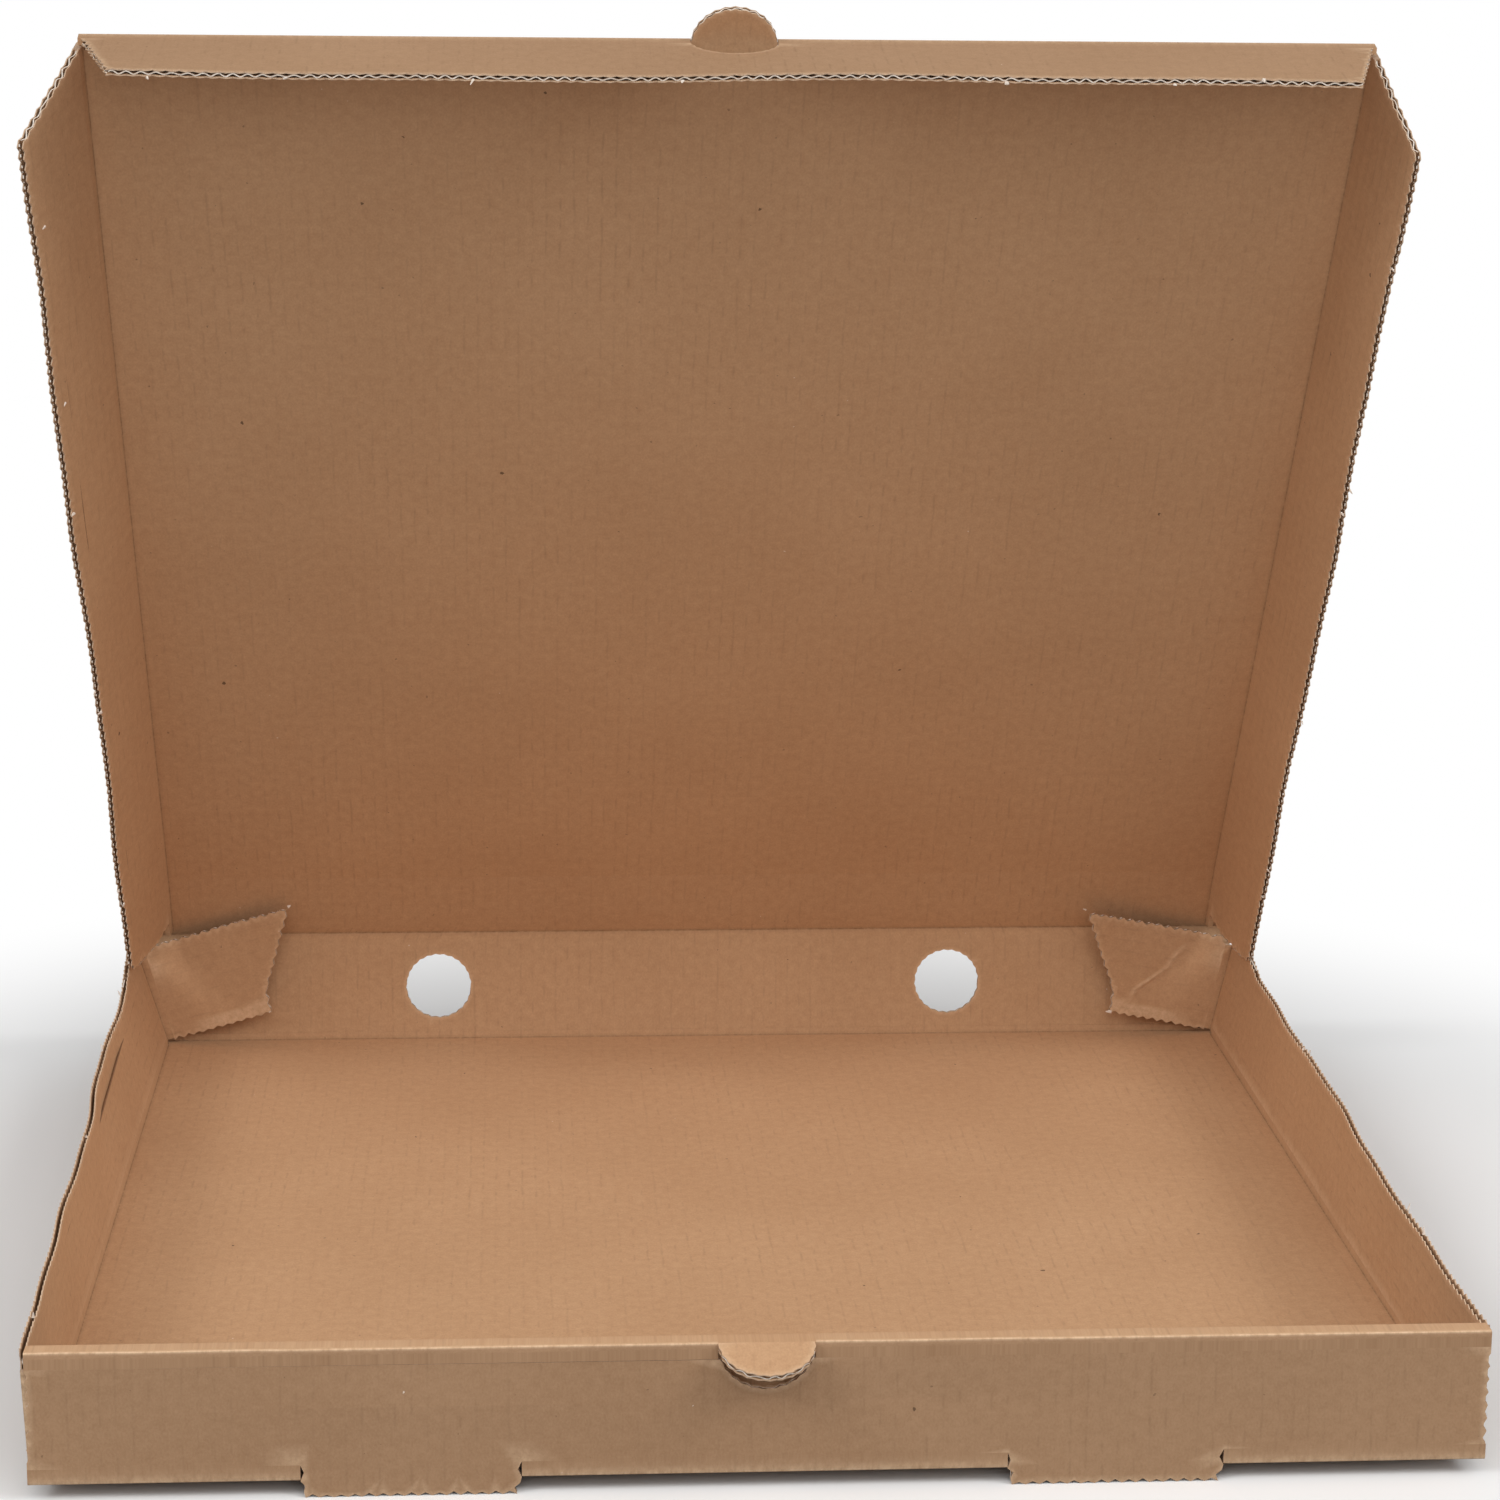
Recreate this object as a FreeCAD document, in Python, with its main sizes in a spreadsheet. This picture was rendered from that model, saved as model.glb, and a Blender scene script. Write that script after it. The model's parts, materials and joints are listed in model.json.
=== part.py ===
# Open one-piece pizza box, folded from a single sheet of corrugated board.
# X runs across the box, Y from the front wall to the rear wall, Z up.
# The origin is at the middle of the base's underside; the feet reach below it.
import FreeCAD, Part
import math
import os
import Sketcher
from FreeCAD import Placement, Rotation, Vector

doc = FreeCAD.newDocument("pizza_box")
sheet = doc.addObject("Spreadsheet::Sheet", "Sizes")
sizes = {
    "boardThickness": 1.5,
    "trayWidth": 300,
    "trayDepth": 300,
    "frontHeight": 28.5,
    "sideHeight": 28.5,
    "rearHeight": 32,
    "rearLean": 3,
    "leftWallFlare": 17.5,
    "rightWallFlare": 13,
    "uprightLength": 60,
    "frontRoll": 5,
    "innerWallGap": 0.3,
    "footDrop": 3.6,
    "footSpacing": 145,
    "footWidth": 45,
    "footSlant": 1,
    "lockWidth": 43,
    "slotGap": 0.2,
    "tuckLength": 60,
    "tuckHeight": 24,
    "tuckGap": 0.2,
    "thumbRadius": 10,
    "thumbDroop": 20,
    "ventSpacing": 145,
    "ventDiameter": 18,
    "ventHeight": 16.5,
    "lidAngle": 58,
    "hingeGap": 0.1,
    "lidSideGap": 1.5,
    "lidFrontGap": 0.2,
    "lidFlapDepth": 28,
    "frontFlapSpread": 18,
    "leftFlapSpread": 18,
    "rightFlapSpread": 14,
    "lidFlapGap": 0.15,
    "sideFlapFrontCut": 9.5,
    "sideFlapRearStart": 6.5,
    "sideFlapRearCut": 5.5,
    "sideFlapCorner": 4,
    "frontFlapMitre": 8,
    "cornerFlapLength": 46,
    "cornerFlapFoot": 31,
    "cornerFlapHeight": 28,
    "cornerFlapNotch": 7,
    "cornerFlapHook": 1,
    "cornerFlapBevel": 5,
    "cornerFlapGap": 0.3,
    "cornerFlapSplay": 8,
}
for row, (name, value) in enumerate(sizes.items(), start=1):
    sheet.set(f"A{row}", name)
    sheet.set(f"B{row}", str(value))
    sheet.setAlias(f"B{row}", name)
doc.recompute()

# Lengths that follow from others, as expressions over the sheet
half = "Sizes.trayWidth / 2"
frontFace = "-Sizes.trayDepth / 2"
rearFace = "Sizes.trayDepth / 2"
frontTop = "Sizes.frontHeight"
hingeY = "Sizes.trayDepth / 2 + Sizes.rearLean"
hingeZ = "Sizes.rearHeight"
halfPanel = "Sizes.trayWidth / 2 - Sizes.boardThickness - Sizes.lidSideGap"
panelLength = ("Sizes.trayDepth + Sizes.rearLean - Sizes.frontRoll"
               " - Sizes.boardThickness - Sizes.lidFrontGap")
cornerSlabBack = "Sizes.trayDepth / 2 - Sizes.boardThickness - Sizes.cornerFlapGap"
sideRearEnd = f"{cornerSlabBack} - Sizes.boardThickness - Sizes.cornerFlapGap"


def valueOf(expression):
    return float(sheet.evalExpression(expression))


def times(sign, expression):
    return f"{sign} * ({expression})"


def newSketch(body, role, name):
    sketch = body.newObject("Sketcher::SketchObject", name)
    plane = [f for f in body.Origin.OriginFeatures if f.Role == role][0]
    sketch.AttachmentSupport = [(plane, "")]
    sketch.MapMode = "FlatFace"
    return sketch


def holdPoint(sketch, edge, end, corner):
    """Dimensions from the sketch's origin to one end of an edge, bound to a pair of expressions."""
    for kind, expression in zip(("DistanceX", "DistanceY"), corner):
        dimension = Sketcher.Constraint(kind, -1, 1, edge, end, valueOf(expression))
        number = sketch.addConstraint(dimension)
        sketch.setExpression(f"Constraints[{number}]", expression)


def drawOutline(sketch, corners):
    """A closed outline of straight edges through corners, each a pair of expressions."""
    first = sketch.GeometryCount
    count = len(corners)
    points = [Vector(valueOf(x), valueOf(y), 0) for x, y in corners]
    for i in range(count):
        sketch.addGeometry(Part.LineSegment(points[i], points[(i + 1) % count]), False)
    for i in range(count):
        following = first + (i + 1) % count
        sketch.addConstraint(Sketcher.Constraint("Coincident", first + i, 2, following, 1))
    for i, corner in enumerate(corners):
        holdPoint(sketch, first + i, 1, corner)


def drawCircle(sketch, centre, radius):
    middle = Vector(valueOf(centre[0]), valueOf(centre[1]), 0)
    circle = sketch.addGeometry(Part.Circle(middle, Vector(0, 0, 1), valueOf(radius)), False)
    holdPoint(sketch, circle, 3, centre)
    number = sketch.addConstraint(Sketcher.Constraint("Radius", circle, valueOf(radius)))
    sketch.setExpression(f"Constraints[{number}]", radius)


def padBoard(body, sketch, name, reversedPad=False):
    pad = body.newObject("PartDesign::Pad", name)
    pad.Profile = sketch
    pad.setExpression("Length", "Sizes.boardThickness")
    pad.Reversed = reversedPad
    return pad


def boardPiece(label, corners):
    """A flat piece of board: its outline lies in the body's XY plane, its thickness along +Z."""
    body = doc.addObject("PartDesign::Body", label)
    body.Label = label
    outline = newSketch(body, "XY_Plane", f"{label}_outline")
    drawOutline(outline, corners)
    padBoard(body, outline, f"{label}_board")
    return body


def cutThrough(body, name, draw):
    sketch = newSketch(body, "XY_Plane", f"{name}_outline")
    draw(sketch)
    pocket = body.newObject("PartDesign::Pocket", name)
    pocket.Profile = sketch
    pocket.Type = "ThroughAll"
    pocket.Reversed = True


def addThumbTab(body, name, edge):
    """A half disc in the plane of the board, standing out past the edge at y = edge."""
    sketch = newSketch(body, "XY_Plane", f"{name}_outline")
    radius = valueOf("Sizes.thumbRadius")
    middle = Vector(0, valueOf(edge), 0)
    circle = Part.Circle(middle, Vector(0, 0, 1), radius)
    arc = sketch.addGeometry(Part.ArcOfCircle(circle, math.pi, 2 * math.pi), False)
    left, right = middle - Vector(radius, 0, 0), middle + Vector(radius, 0, 0)
    chord = sketch.addGeometry(Part.LineSegment(right, left), False)
    sketch.addConstraint(Sketcher.Constraint("Coincident", arc, 2, chord, 1))
    sketch.addConstraint(Sketcher.Constraint("Coincident", chord, 2, arc, 1))
    holdPoint(sketch, arc, 3, ("0", edge))
    holdPoint(sketch, chord, 1, ("Sizes.thumbRadius", edge))
    sketch.addConstraint(Sketcher.Constraint("Horizontal", chord))
    return padBoard(body, sketch, name)


def standUp(y):
    """Placement of a piece drawn flat and stood up across the box: its thickness points to the front."""
    return Placement(Vector(0, y, 0), Rotation(Vector(1, 0, 0), 90))


def makeBase():
    y0, y1 = frontFace, rearFace
    base = boardPiece("base", [(times(-1, half), y0), (half, y0), (half, y1), (times(-1, half), y1)])
    slotFront = f"{frontFace} + Sizes.boardThickness"
    slotRear = f"{frontFace} + Sizes.frontRoll + Sizes.slotGap"

    def drawSlots(sketch):
        for side in (-1, 1):
            ends = [f"{side} * Sizes.footSpacing / 2 {sign} Sizes.footWidth / 2" for sign in "-+"]
            drawOutline(sketch, [(ends[0], slotFront), (ends[1], slotFront),
                                 (ends[1], slotRear), (ends[0], slotRear)])

    cutThrough(base, "foot_slots", drawSlots)
    return base


def footCorners(side):
    near = f"{side} * Sizes.footSpacing / 2 - Sizes.footWidth / 2"
    far = f"{side} * Sizes.footSpacing / 2 + Sizes.footWidth / 2"
    return [(near, "0"), (f"{near} + Sizes.footSlant", "-Sizes.footDrop"),
            (f"{far} - Sizes.footSlant", "-Sizes.footDrop"), (far, "0")]


def makeFrontWall():
    top = "Sizes.frontHeight"
    corners = [(times(-1, half), "0"), *footCorners(-1), *footCorners(1),
               (half, "0"), (half, top), (times(-1, half), top)]
    wall = boardPiece("front_wall", corners)
    cutThrough(wall, "thumb_notch", lambda sketch: drawCircle(sketch, ("0", top), "Sizes.thumbRadius"))
    wall.Placement = standUp(valueOf(f"{frontFace} + Sizes.boardThickness"))
    return wall


def makeFrontRoll():
    y1 = "Sizes.frontRoll"
    roll = boardPiece("front_roll", [(times(-1, half), "0"), (half, "0"),
                                     (half, y1), (times(-1, half), y1)])
    height = valueOf(f"{frontTop} - Sizes.boardThickness")
    roll.Placement.Base = Vector(0, valueOf(frontFace), height)
    return roll


def makeFrontThumbTab():
    tab = doc.addObject("PartDesign::Body", "front_thumb_tab")
    tab.Label = "front_thumb_tab"
    addThumbTab(tab, "front_thumb", "0").Reversed = True
    droop = Rotation(Vector(1, 0, 0), valueOf("Sizes.thumbDroop"))
    tab.Placement = Placement(Vector(0, valueOf(frontFace), valueOf(frontTop)), droop)
    return tab


def makeInnerFrontWall():
    floor = "Sizes.boardThickness"
    end = "Sizes.trayWidth / 2 - Sizes.boardThickness - Sizes.innerWallGap"
    corners = [(times(-1, end), floor)]
    for side in (-1, 1):
        middle = f"{side} * Sizes.footSpacing / 2"
        near, far = f"{middle} - Sizes.lockWidth / 2", f"{middle} + Sizes.lockWidth / 2"
        corners += [(near, floor), (near, "0"), (far, "0"), (far, floor)]
    top = "Sizes.frontHeight - Sizes.boardThickness"
    corners += [(end, floor), (end, top), (times(-1, end), top)]
    wall = boardPiece("inner_front_wall", corners)
    wall.Placement = standUp(valueOf(f"{frontFace} + Sizes.frontRoll"))
    return wall


def makeRearWall():
    """Leans back by rearLean over its height, and has two round vents."""
    body = doc.addObject("PartDesign::Body", "rear_wall_board")
    section = newSketch(body, "YZ_Plane", "rear_wall_section")
    top = "Sizes.rearHeight - Sizes.hingeGap"
    drawOutline(section, [(f"{rearFace} - Sizes.boardThickness", "0"), (rearFace, "0"),
                          (hingeY, top), (f"{hingeY} - Sizes.boardThickness", top)])
    pad = body.newObject("PartDesign::Pad", "rear_wall_pad")
    pad.Profile = section
    pad.Midplane = True
    pad.setExpression("Length", "Sizes.trayWidth - 2 * Sizes.boardThickness")
    wall = body
    for side, word in ((-1, "left"), (1, "right")):
        vent = doc.addObject("Part::Cylinder", f"{word}_vent")
        vent.setExpression("Radius", "Sizes.ventDiameter / 2")
        vent.setExpression("Height", "4 * (Sizes.boardThickness + Sizes.rearLean)")
        start = valueOf(f"{rearFace} - 2 * (Sizes.boardThickness + Sizes.rearLean)")
        place = Vector(valueOf(f"{side} * Sizes.ventSpacing / 2"), start, valueOf("Sizes.ventHeight"))
        vent.Placement = Placement(place, Rotation(Vector(1, 0, 0), -90))
        cut = doc.addObject("Part::Cut", f"rear_wall_{word}_vent")
        cut.Base, cut.Tool = wall, vent
        wall = cut
    return wall


def makeSideWall(side, word):
    """Upright behind the front wall, then leaning out more and more towards the rear."""
    body = doc.addObject("PartDesign::Body", f"{word}_wall")
    body.Label = f"{word}_wall"
    start = f"{frontFace} + Sizes.boardThickness"
    stations = [(start, "0 deg"), (f"{start} + Sizes.uprightLength", "0 deg"),
                (sideRearEnd, f"Sizes.{word}WallFlare * 1 deg")]
    sections = []
    for number, (y, flare) in enumerate(stations):
        section = newSketch(body, "XZ_Plane", f"{word}_wall_section_{number}")
        section.setExpression("AttachmentOffset.Base.z", f"-({y})")
        reach, rise = f"Sizes.sideHeight * sin({flare})", f"Sizes.sideHeight * cos({flare})"
        across, lift = f"Sizes.boardThickness * cos({flare})", f"Sizes.boardThickness * sin({flare})"
        drawOutline(section, [
            (times(side, half), "0"),
            (times(side, f"{half} + {reach}"), rise),
            (times(side, f"{half} + {reach} - {across}"), f"{rise} + {lift}"),
            (times(side, f"{half} - Sizes.boardThickness"), "0"),
        ])
        sections.append(section)
    loft = body.newObject("PartDesign::AdditiveLoft", f"{word}_wall_loft")
    loft.Profile = sections[0]
    loft.Sections = sections[1:]
    loft.Ruled = True
    return body


def makeTuckFlap(side, word):
    """Runs on from the side wall's front end, behind the outer front wall."""
    flap = doc.addObject("Part::Box", f"{word}_tuck_flap")
    flap.setExpression("Length", "Sizes.tuckLength")
    flap.setExpression("Width", "Sizes.boardThickness")
    flap.setExpression("Height", "Sizes.tuckHeight")
    x = -valueOf(half) if side < 0 else valueOf(f"{half} - Sizes.tuckLength")
    y = valueOf(f"{frontFace} + Sizes.boardThickness + Sizes.tuckGap")
    flap.Placement.Base = Vector(x, y, valueOf("Sizes.boardThickness"))
    return flap


def makeTray():
    pieces = [makeBase(), makeFrontWall(), makeFrontRoll(), makeFrontThumbTab(),
              makeInnerFrontWall(), makeRearWall()]
    for side, word in ((-1, "left"), (1, "right")):
        pieces += [makeSideWall(side, word), makeTuckFlap(side, word)]
    tray = doc.addObject("Part::MultiFuse", "tray")
    tray.Shapes = pieces
    tray.Label = "tray"
    return tray


def lidPlacement():
    """The lid is drawn shut, from its hinge towards the front, and then swung open."""
    hinge = Vector(0, valueOf(hingeY), valueOf(hingeZ))
    return Placement(hinge, Rotation(Vector(-1, 0, 0), valueOf("Sizes.lidAngle")))


def makeLid():
    front = times(-1, panelLength)
    lid = boardPiece("lid", [(times(-1, halfPanel), front), (halfPanel, front),
                             (halfPanel, "0"), (times(-1, halfPanel), "0")])
    addThumbTab(lid, "lid_thumb", front)
    lid.Placement = lidPlacement()
    return lid


def makeLidFrontFlap():
    top, gap = f"{halfPanel} - Sizes.lidFlapGap", "-Sizes.lidFlapGap"
    foot = f"{halfPanel} - Sizes.frontFlapMitre"
    flap = boardPiece("lid_front_flap", [(times(-1, foot), "-Sizes.lidFlapDepth"),
                                         (foot, "-Sizes.lidFlapDepth"),
                                         (top, gap), (times(-1, top), gap)])
    notch = "Sizes.thumbRadius + Sizes.lidFlapGap"
    cutThrough(flap, "lid_thumb_notch", lambda sketch: drawCircle(sketch, ("0", "0"), notch))
    fold = Rotation(Vector(1, 0, 0), 90 - valueOf("Sizes.frontFlapSpread"))
    flap.Placement = lidPlacement() * Placement(Vector(0, -valueOf(panelLength), 0), fold)
    return flap


def makeLidSideFlap(side, word):
    """Its front end is cut on a slant from the fold's corner, and its rear end clears the tray's corner."""
    gap, depth = times(side, "Sizes.lidFlapGap"), times(side, "Sizes.lidFlapDepth")
    front, rear = times(-1, panelLength), "-(Sizes.sideFlapRearStart + Sizes.sideFlapRearCut"
    flap = boardPiece(f"lid_{word}_flap", [
        (gap, "-Sizes.sideFlapRearStart"),
        (gap, front),
        (depth, f"{front} + Sizes.sideFlapFrontCut"),
        (depth, f"{rear} + Sizes.sideFlapCorner)"),
        (times(side, "Sizes.lidFlapDepth - Sizes.sideFlapCorner"), f"{rear})"),
    ])
    fold = Rotation(Vector(0, side, 0), 90 - valueOf(f"Sizes.{word}FlapSpread"))
    flap.Placement = lidPlacement() * Placement(Vector(side * valueOf(halfPanel), 0, 0), fold)
    return flap


def makeCornerFlap(side, word):
    """Dust flap at the side wall's rear end, tilted as that wall leans and splayed a little forward."""
    def across(expression):
        return times(-side, expression)

    height, bevel = "Sizes.cornerFlapHeight", "Sizes.cornerFlapBevel"
    flap = boardPiece(f"{word}_corner_flap", [
        ("0", "0"),
        (across("Sizes.cornerFlapFoot"), "0"),
        (across("Sizes.cornerFlapFoot + Sizes.cornerFlapHook"), "Sizes.cornerFlapNotch"),
        (across("Sizes.cornerFlapLength"), height),
        (across(bevel), height),
        ("0", f"{height} - {bevel}"),
    ])
    corner = Vector(side * valueOf(f"{half} - Sizes.boardThickness"), valueOf(cornerSlabBack),
                    valueOf("Sizes.boardThickness + Sizes.cornerFlapGap"))
    lean = Rotation(Vector(0, side, 0), valueOf(f"Sizes.{word}WallFlare"))
    splay = Rotation(Vector(0, 0, side), valueOf("Sizes.cornerFlapSplay"))
    flap.Placement = Placement(corner, splay * lean * Rotation(Vector(1, 0, 0), 90))
    return flap


pieces = [makeTray(), makeLid(), makeLidFrontFlap()]
for side, word in ((-1, "left"), (1, "right")):
    pieces += [makeLidSideFlap(side, word), makeCornerFlap(side, word)]
doc.recompute()

failed = [item.Name for item in doc.Objects if "Invalid" in item.State or "Error" in item.State]
if failed:
    raise RuntimeError(f"these objects failed: {failed}")
for piece in pieces:
    if piece.Shape.isNull() or not piece.Shape.isValid():
        raise RuntimeError(f"{piece.Label} has no valid shape")

os.makedirs("parts", exist_ok=True)
for piece in pieces:
    piece.Shape.exportStep(f"parts/{piece.Label}.step")
    print(piece.Label, len(piece.Shape.Solids), "solid", round(piece.Shape.Volume, 1), "mm3")
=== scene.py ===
import json
import math
import random
import bpy
import numpy as np
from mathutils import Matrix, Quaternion, Vector
from mathutils.geometry import delaunay_2d_cdt


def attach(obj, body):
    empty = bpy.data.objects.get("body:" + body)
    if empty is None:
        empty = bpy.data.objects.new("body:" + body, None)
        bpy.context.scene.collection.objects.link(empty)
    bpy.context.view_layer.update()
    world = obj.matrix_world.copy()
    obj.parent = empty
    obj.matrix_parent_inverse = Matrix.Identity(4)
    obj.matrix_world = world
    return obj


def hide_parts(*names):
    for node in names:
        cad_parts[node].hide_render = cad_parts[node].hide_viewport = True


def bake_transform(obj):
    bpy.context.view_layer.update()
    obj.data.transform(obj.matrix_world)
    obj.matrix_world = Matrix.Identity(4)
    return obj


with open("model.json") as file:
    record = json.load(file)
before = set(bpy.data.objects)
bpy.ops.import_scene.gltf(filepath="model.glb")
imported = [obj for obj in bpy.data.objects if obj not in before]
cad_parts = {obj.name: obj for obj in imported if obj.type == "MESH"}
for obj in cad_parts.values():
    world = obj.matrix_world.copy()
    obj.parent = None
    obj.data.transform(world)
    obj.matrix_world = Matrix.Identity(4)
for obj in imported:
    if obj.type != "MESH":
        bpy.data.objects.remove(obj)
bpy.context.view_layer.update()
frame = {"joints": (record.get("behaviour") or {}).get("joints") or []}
joints = {joint["name"]: joint for joint in frame["joints"]}

# one sheet of board: two liners on a wavy medium whose flutes run from front to rear
board = {
    "thickness": 0.0015,
    "liner": 0.00028,
    "flutePitch": 0.0033,
    "mediumWall": 0.00030,
    "samplesPerFlute": 12,
    "mediumBand": 0.005,
    "mediumInset": 0.00006,
    "meshStep": 0.0075,
    "toothPitch": 0.0029,
    "toothDepth": 0.00092,
    "rimWidth": 0.0007,
    "rimWear": 0.55,
    "foldReach": 0.002,
    "seed": 7,
}
draw = random.Random(board["seed"])
thick = board["thickness"]
reach = board["foldReach"]


def unit(v):
    v = np.array(v, float)
    return v / np.linalg.norm(v)


xAxis = np.array((1.0, 0.0, 0.0))
yAxis = np.array((0.0, 1.0, 0.0))
zAxis = np.array((0.0, 0.0, 1.0))

# the lid's plane, read from where its hinge and its folds are
lidHinge = np.array(joints["lid_hinge"]["pos_m"], float)
lidFold = np.array(joints["lid_front_flap_fold"]["pos_m"], float)
lidAlong = unit(lidFold - lidHinge)
lidLength = float(np.linalg.norm(lidFold - lidHinge))
lidOut = np.cross(lidAlong, xAxis)
lidHalf = float(joints["lid_right_flap_fold"]["pos_m"][0])
lidSheet = 0.180  # where the lid starts on the unfolded blank
print("lid", round(lidLength, 4), "long,", round(2 * lidHalf, 4), "wide between its folds")

# each finish has its own material; the groups that they share come first
finish = {
    "innerDark": (0.455, 0.252, 0.130),
    "innerPale": (0.665, 0.415, 0.240),
    # the outer liner's two colours are darker than the inner liner's: painted shade for the front-facing
    # outer faces; where the same liner faces up, on the roll's strip and the thumb tab, it takes the inner
    # liner's paler colours
    "outerDark": (0.315, 0.178, 0.094),
    "outerPale": (0.465, 0.287, 0.168),
    # the medium's colours are dark: partly the medium's own darker paper and partly painted shade standing in
    # for the shade inside the hollow flutes
    "mediumDark": (0.17, 0.088, 0.045),
    "mediumPale": (0.40, 0.235, 0.13),
    "edgeDark": (0.32, 0.195, 0.12),
    "edgePale": (0.70, 0.52, 0.38),
    "tornDark": (0.66, 0.50, 0.36),
    "tornPale": (0.97, 0.93, 0.88),
    "fibre": (0.90, 0.83, 0.74),
    "speck": (0.10, 0.055, 0.030),
    # the next colour is pale wear, and on fold ridges a painted highlight too; the one after is painted shade
    # for the valleys of folds
    "wornAndPaintedLight": (0.86, 0.62, 0.41),
    "paintedCreaseShade": (0.22, 0.115, 0.055),
    "shine": 0.18,
    "fluteBump": 0.00012,
    "grainBump": 0.0001,
}

# scales are per metre of sheet
pulp = {
    "layers": (
        {"scale": 17, "detail": 4, "roughness": 0.5, "along": 1.0, "weight": 0.55},
        {"scale": 420, "detail": 4, "roughness": 0.62, "along": 1.0, "weight": 0.75},
        {"scale": 2100, "detail": 3, "roughness": 0.65, "along": 0.7, "weight": 0.85},
    ),
    "wanderScale": 900,
    "wander": 0.0012,
    "specks": (
        {"tint": "speck", "scale": 95, "size": 0.050, "bare": 0.45, "strength": 0.8},
        {"tint": "speck", "scale": 260, "size": 0.075, "bare": 0.5, "strength": 0.45},
        {"tint": "fibre", "scale": 150, "size": 0.034, "bare": 0.62, "strength": 0.6},
    ),
}


def addNode(tree, kind, inputs=None, **settings):
    # a node with its settings; each input is a plain value or another node's output
    node = tree.nodes.new(kind)
    for name, value in settings.items():
        setattr(node, name, value)
    for name, value in (inputs or {}).items():
        if isinstance(value, bpy.types.NodeSocket):
            tree.links.new(value, node.inputs[name])
        else:
            node.inputs[name].default_value = value
    return node


def newTree(name, kind, inputs, outputs):
    tree = bpy.data.node_groups.new(name, kind)
    for label, socketKind, value in inputs:
        socket = tree.interface.new_socket(label, in_out="INPUT", socket_type=socketKind)
        if value is not None:
            socket.default_value = value
    for label, socketKind in outputs:
        tree.interface.new_socket(label, in_out="OUTPUT", socket_type=socketKind)
    return tree, tree.nodes.new("NodeGroupInput"), tree.nodes.new("NodeGroupOutput")


def mathNode(tree, operation, a, b=None, clamp=False):
    inputs = {0: a} if b is None else {0: a, 1: b}
    return addNode(tree, "ShaderNodeMath", inputs, operation=operation, use_clamp=clamp).outputs[0]


def stretched(tree, vector, scale):
    return addNode(tree, "ShaderNodeMapping", {"Vector": vector, "Scale": scale}).outputs[0]


def noiseNode(tree, vector, scale, detail=3.0, roughness=0.5):
    node = addNode(tree, "ShaderNodeTexNoise",
                   {"Vector": vector, "Scale": scale, "Detail": detail, "Roughness": roughness})
    return node.outputs["Fac"]


def rampNode(tree, value, stops):
    node = addNode(tree, "ShaderNodeValToRGB", {"Fac": value})
    for element, (place, level) in zip(node.color_ramp.elements, stops):
        element.position = place
        element.color = (level, level, level, 1)
    return node.outputs["Color"]


def mixColours(tree, factor, a, b):
    # 6 and 7 are the Mix node's colour inputs, and 2 is its colour output
    a, b = ((*colour, 1) if isinstance(colour, tuple) else colour for colour in (a, b))
    return addNode(tree, "ShaderNodeMix", {0: factor, 6: a, 7: b}, data_type="RGBA").outputs[2]


def makePulpGroup():
    # mottled recycled kraft paper with dark and pale specks, over the unfolded sheet
    group, source, result = newTree("paperPulp", "ShaderNodeTree", [
        ("Sheet", "NodeSocketVector", None),
        ("Dark", "NodeSocketColor", None),
        ("Pale", "NodeSocketColor", None),
    ], [("Colour", "NodeSocketColor"), ("Height", "NodeSocketFloat")])
    sheet = source.outputs["Sheet"]
    level, noises = 0.5, []
    for layer in pulp["layers"]:
        vector = stretched(group, sheet, (1, layer["along"], 1))
        noises.append(noiseNode(group, vector, layer["scale"], layer["detail"], layer["roughness"]))
        part = mathNode(group, "MULTIPLY", mathNode(group, "SUBTRACT", noises[-1], 0.5), layer["weight"])
        level = mathNode(group, "ADD", part, level, clamp=True)
    colour = mixColours(group, level, source.outputs["Dark"], source.outputs["Pale"])
    # the specks' outlines wander, so that none is a clean disc
    cloud = addNode(group, "ShaderNodeTexNoise", {"Vector": sheet, "Scale": pulp["wanderScale"]})
    shift = addNode(group, "ShaderNodeVectorMath", {0: cloud.outputs["Color"]}, operation="SCALE")
    shift.inputs["Scale"].default_value = pulp["wander"]
    jitter = addNode(group, "ShaderNodeVectorMath", {0: sheet, 1: shift.outputs[0]}, operation="ADD")
    for speck in pulp["specks"]:
        cells = addNode(group, "ShaderNodeTexVoronoi", {"Vector": jitter.outputs[0], "Scale": speck["scale"]})
        chance = addNode(group, "ShaderNodeSeparateColor", {0: cells.outputs["Color"]}).outputs[0]
        radius = mathNode(group, "MULTIPLY", mathNode(group, "SUBTRACT", chance, speck["bare"]),
                          speck["size"] / (1 - speck["bare"]))
        inside = mathNode(group, "GREATER_THAN", radius, cells.outputs["Distance"])
        share = mathNode(group, "MULTIPLY", inside, speck["strength"])
        colour = mixColours(group, share, colour, finish[speck["tint"]])
    height = mathNode(group, "ADD", *(mathNode(group, "MULTIPLY", noise, 0.5) for noise in noises[1:]))
    group.links.new(colour, result.inputs["Colour"])
    group.links.new(height, result.inputs["Height"])
    return group


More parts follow.
